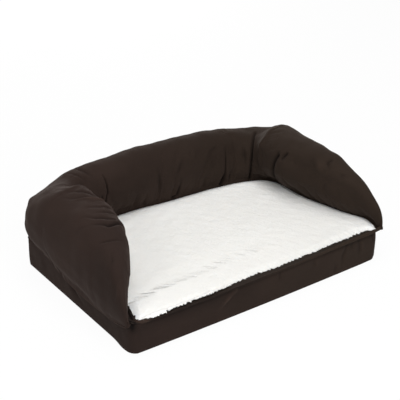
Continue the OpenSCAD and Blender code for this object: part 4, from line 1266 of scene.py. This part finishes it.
def frontEdge(x):
    # the even front, moved out by the table's smoothed value and raggedly, less so at both ends
    spread = np.linspace(-fleece["smoothReach"], fleece["smoothReach"], fleece["smoothSteps"])
    out = np.interp(x[:, None] + spread, *zip(*frontOut)).mean(1)
    ends = smooth(np.minimum(x - x[0], x[-1] - x) / fleece["endFade"])
    rough = ripples(np.stack([x, 0 * x, 0 * x], -1), fleece["rough"])
    return np.stack([x, fleeceFront - (out + fleece["ragged"] * rough) * ends], -1)


def distanceTo(edges, flat):
    # from each point of the patch to the nearest point of the edges, looked for part by part
    reach = np.full(flat.shape[:2], fleece["farAway"])
    for edge in edges:
        for part in np.array_split(edge, fleece["edgeParts"]):
            steps = flat[:, :, None] - part[None, None, ::fleece["edgeEvery"]]
            reach = np.minimum(reach, np.linalg.norm(steps, axis=-1).min(-1))
    return reach


def makeFleece():
    # a patch stretched between four edges: the sum of both pairs of edges less the bilinear
    # part of the four corners
    corner = armLength + cornerLength / 2
    start = fleeceFront - tipY
    far = bolsterLength - corner
    left = evenly(fleeceSide(start, corner, fleece["seamPoints"]), fleece["rows"])
    right = evenly(fleeceSide(bolsterLength - start, far, fleece["seamPoints"]), fleece["rows"])
    backEdge = evenly(fleeceSide(corner, far, fleece["backPoints"]), fleece["columns"])
    front = frontEdge(np.linspace(left[0, 0], right[0, 0], fleece["columns"]))
    u = np.linspace(0, 1, fleece["columns"])[None, :, None]
    v = np.linspace(0, 1, fleece["rows"])[:, None, None]
    flat = (1 - v) * front[None] + v * backEdge[None] + (1 - u) * left[:, None] + u * right[:, None] \
        - (1 - u) * (1 - v) * left[0] - u * (1 - v) * right[0] - (1 - u) * v * left[-1] - u * v * right[-1]
    toSeam = distanceTo((flat[:, -1], flat[-1], flat[:, 0]), flat)
    near = np.minimum(distanceTo((flat[0],), flat), toSeam)
    height = fleece["edgeHeight"] * smooth(fleece["rimShare"] + near / fleece["rim"]) \
        + fleece["crown"] * smooth(near / fleece["crownReach"])
    points = np.concatenate([flat, (bed["deck"] + height)[..., None]], -1)
    points[..., 2] += ripples(points * [1, 1, 0], fleece["pile"]) * smooth(near / fleece["pileFade"])
    # the front edge hangs over the rolled seam where it reaches that far
    over = fleece["lip"] * smooth((fleece["lipFrom"] - points[..., 1]) / fleece["lipReach"])
    points[..., 2] += over
    under = points.copy()
    under[..., 2] = bed["deck"] + fleece["underGap"] + over
    n, m = points.shape[:2]
    count = n * m
    rim = np.concatenate([np.arange(m), np.arange(1, n) * m + m - 1,
                          (n - 1) * m + np.arange(m - 2, -1, -1), np.arange(n - 2, 0, -1) * m])
    nextRim = np.roll(rim, -1)
    sides = np.stack([rim, rim + count, nextRim + count, nextRim], -1)
    # the attribute carries painted light along the bolster's seam, against the shade the bolster casts on the
    # pile
    seamLight = -np.exp(-toSeam / fleece["seamLightReach"]).ravel()
    return makePiece("fleece_pile", np.concatenate([points.reshape(-1, 3), under.reshape(-1, 3)]),
                     np.concatenate([gridQuads(n, m, 0, flip=True), gridQuads(n, m, count), sides]),
                     napAndPaintedLight=np.concatenate([seamLight, seamLight]))


fleeceCloth = Finish("fleece", Roughness=1.0, Sheen_Weight=0.25, Sheen_Roughness=0.6,
                     Specular_IOR_Level=0.1, Subsurface_Weight=0.6, Subsurface_Radius=(1.0, 0.95, 0.9),
                     Subsurface_Scale=0.010)
place = fleeceCloth.place()
broad = fleeceCloth.noise(place, 14.0, 3.0)
fine = fleeceCloth.noise(place, 330.0, 3.0, 0.65)
split = fleeceCloth.add("SeparateXYZ", {}, {"Vector": place}, None)
across, behind = Wire(fleeceCloth, split.outputs["X"]), Wire(fleeceCloth, split.outputs["Y"])
# What each adds to the pile's paleness: both noises, a level, painted light to the left and behind,
# where the arm and the back shade the pile, and painted light along the bolster's seam
pale = {"broad": 0.35, "fine": 0.30, "level": -0.02, "left": 0.75, "behind": 1.4, "seamLight": 1.1}
paleness = broad * pale["broad"] + fine * pale["fine"] + pale["level"] - across * pale["left"] \
    + behind * pale["behind"]
pileColour = fleeceCloth.mixColour(paleness, (0.745, 0.735, 0.705, 1), (0.868, 0.858, 0.828, 1))
fleeceCloth.feed("Base Color", fleeceCloth.mixColour(0 - fleeceCloth.napAndPaintedLight() * pale["seamLight"], pileColour,
                                                     (0.955, 0.945, 0.915, 1)))
fleeceCloth.feed("Normal", fleeceCloth.bump(fine, 0.0012, 0.18))

fleecePiece = makeFleece()
fleecePiece.data.materials.append(fleeceCloth.material)
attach(fleecePiece, "bed")
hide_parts("fleece_top")
print("fleece made,", len(fleecePiece.data.polygons), "faces")

# Lights and white surroundings
lighting = {"world": 0.17, "floorGlow": 0.95, "floorReach": 8, "floorLevel": -0.0006, "aim": (0, 0, 0.1)}
lamps = {"key": ((-2.4, -0.6, 1.5), 1.6, 21), "front": ((-0.4, -2.3, 1.8), 1.5, 56),
         "top": ((-0.1, 0.1, 2.4), 1.6, 27), "back": ((0.9, 2.4, 0.8), 1.4, 22)}
world = bpy.data.worlds.new("studio")
bpy.context.scene.world = world
studio = Nodes(world)
path = studio.add("LightPath", {}, {}, None)
seen = Wire(studio, path.outputs["Is Camera Ray"])
seen = studio.maths("MAXIMUM", studio.maths("MAXIMUM", seen, Wire(studio, path.outputs["Is Glossy Ray"])),
                    Wire(studio, path.outputs["Is Transmission Ray"]))
dim = studio.add("Background", {}, {"Color": (1, 1, 1, 1), "Strength": lighting["world"]})
white = studio.add("Background", {}, {"Color": (1, 1, 1, 1), "Strength": 1.0})
studio.add("OutputWorld", {}, {"Surface": studio.add("MixShader", {}, {0: seen, 1: dim, 2: white})}, None)

floorFinish = Finish("floor", Base_Color=(0.9, 0.9, 0.9, 1), Roughness=1.0, Specular_IOR_Level=0.0)
path = floorFinish.add("LightPath", {}, {}, None)
seen = floorFinish.maths("MAXIMUM", Wire(floorFinish, path.outputs["Is Camera Ray"]),
                         Wire(floorFinish, path.outputs["Is Glossy Ray"]))
glow = floorFinish.add("Emission", {}, {"Color": (1, 1, 1, 1), "Strength": 1.0})
mixed = floorFinish.add("MixShader", {}, {0: seen * lighting["floorGlow"], 1: floorFinish.result, 2: glow})
floorFinish.add("OutputMaterial", {"is_active_output": True}, {"Surface": mixed}, None)
sides = [(-1, -1), (1, -1), (1, 1), (-1, 1)]
floor = makePiece("floor", [[x * lighting["floorReach"], y * lighting["floorReach"], lighting["floorLevel"]]
                            for x, y in sides], [[0, 1, 2, 3]])
floor.data.materials.append(floorFinish.material)


def softLamp(name, place, size, watts):
    # a square lamp of this size and power, turned from its place to the bed
    data = bpy.data.lights.new(name, "AREA")
    data.shape, data.size, data.energy = "SQUARE", size, watts
    lamp = bpy.data.objects.new(name, data)
    lamp.location = place
    lamp.rotation_euler = (Vector(place) - Vector(lighting["aim"])).to_track_quat("Z", "Y").to_euler()
    bpy.context.scene.collection.objects.link(lamp)


for name, (place, size, watts) in lamps.items():
    softLamp(name, place, size, watts)
bpy.context.scene.view_settings.view_transform = "Standard"
print("lights and floor made")
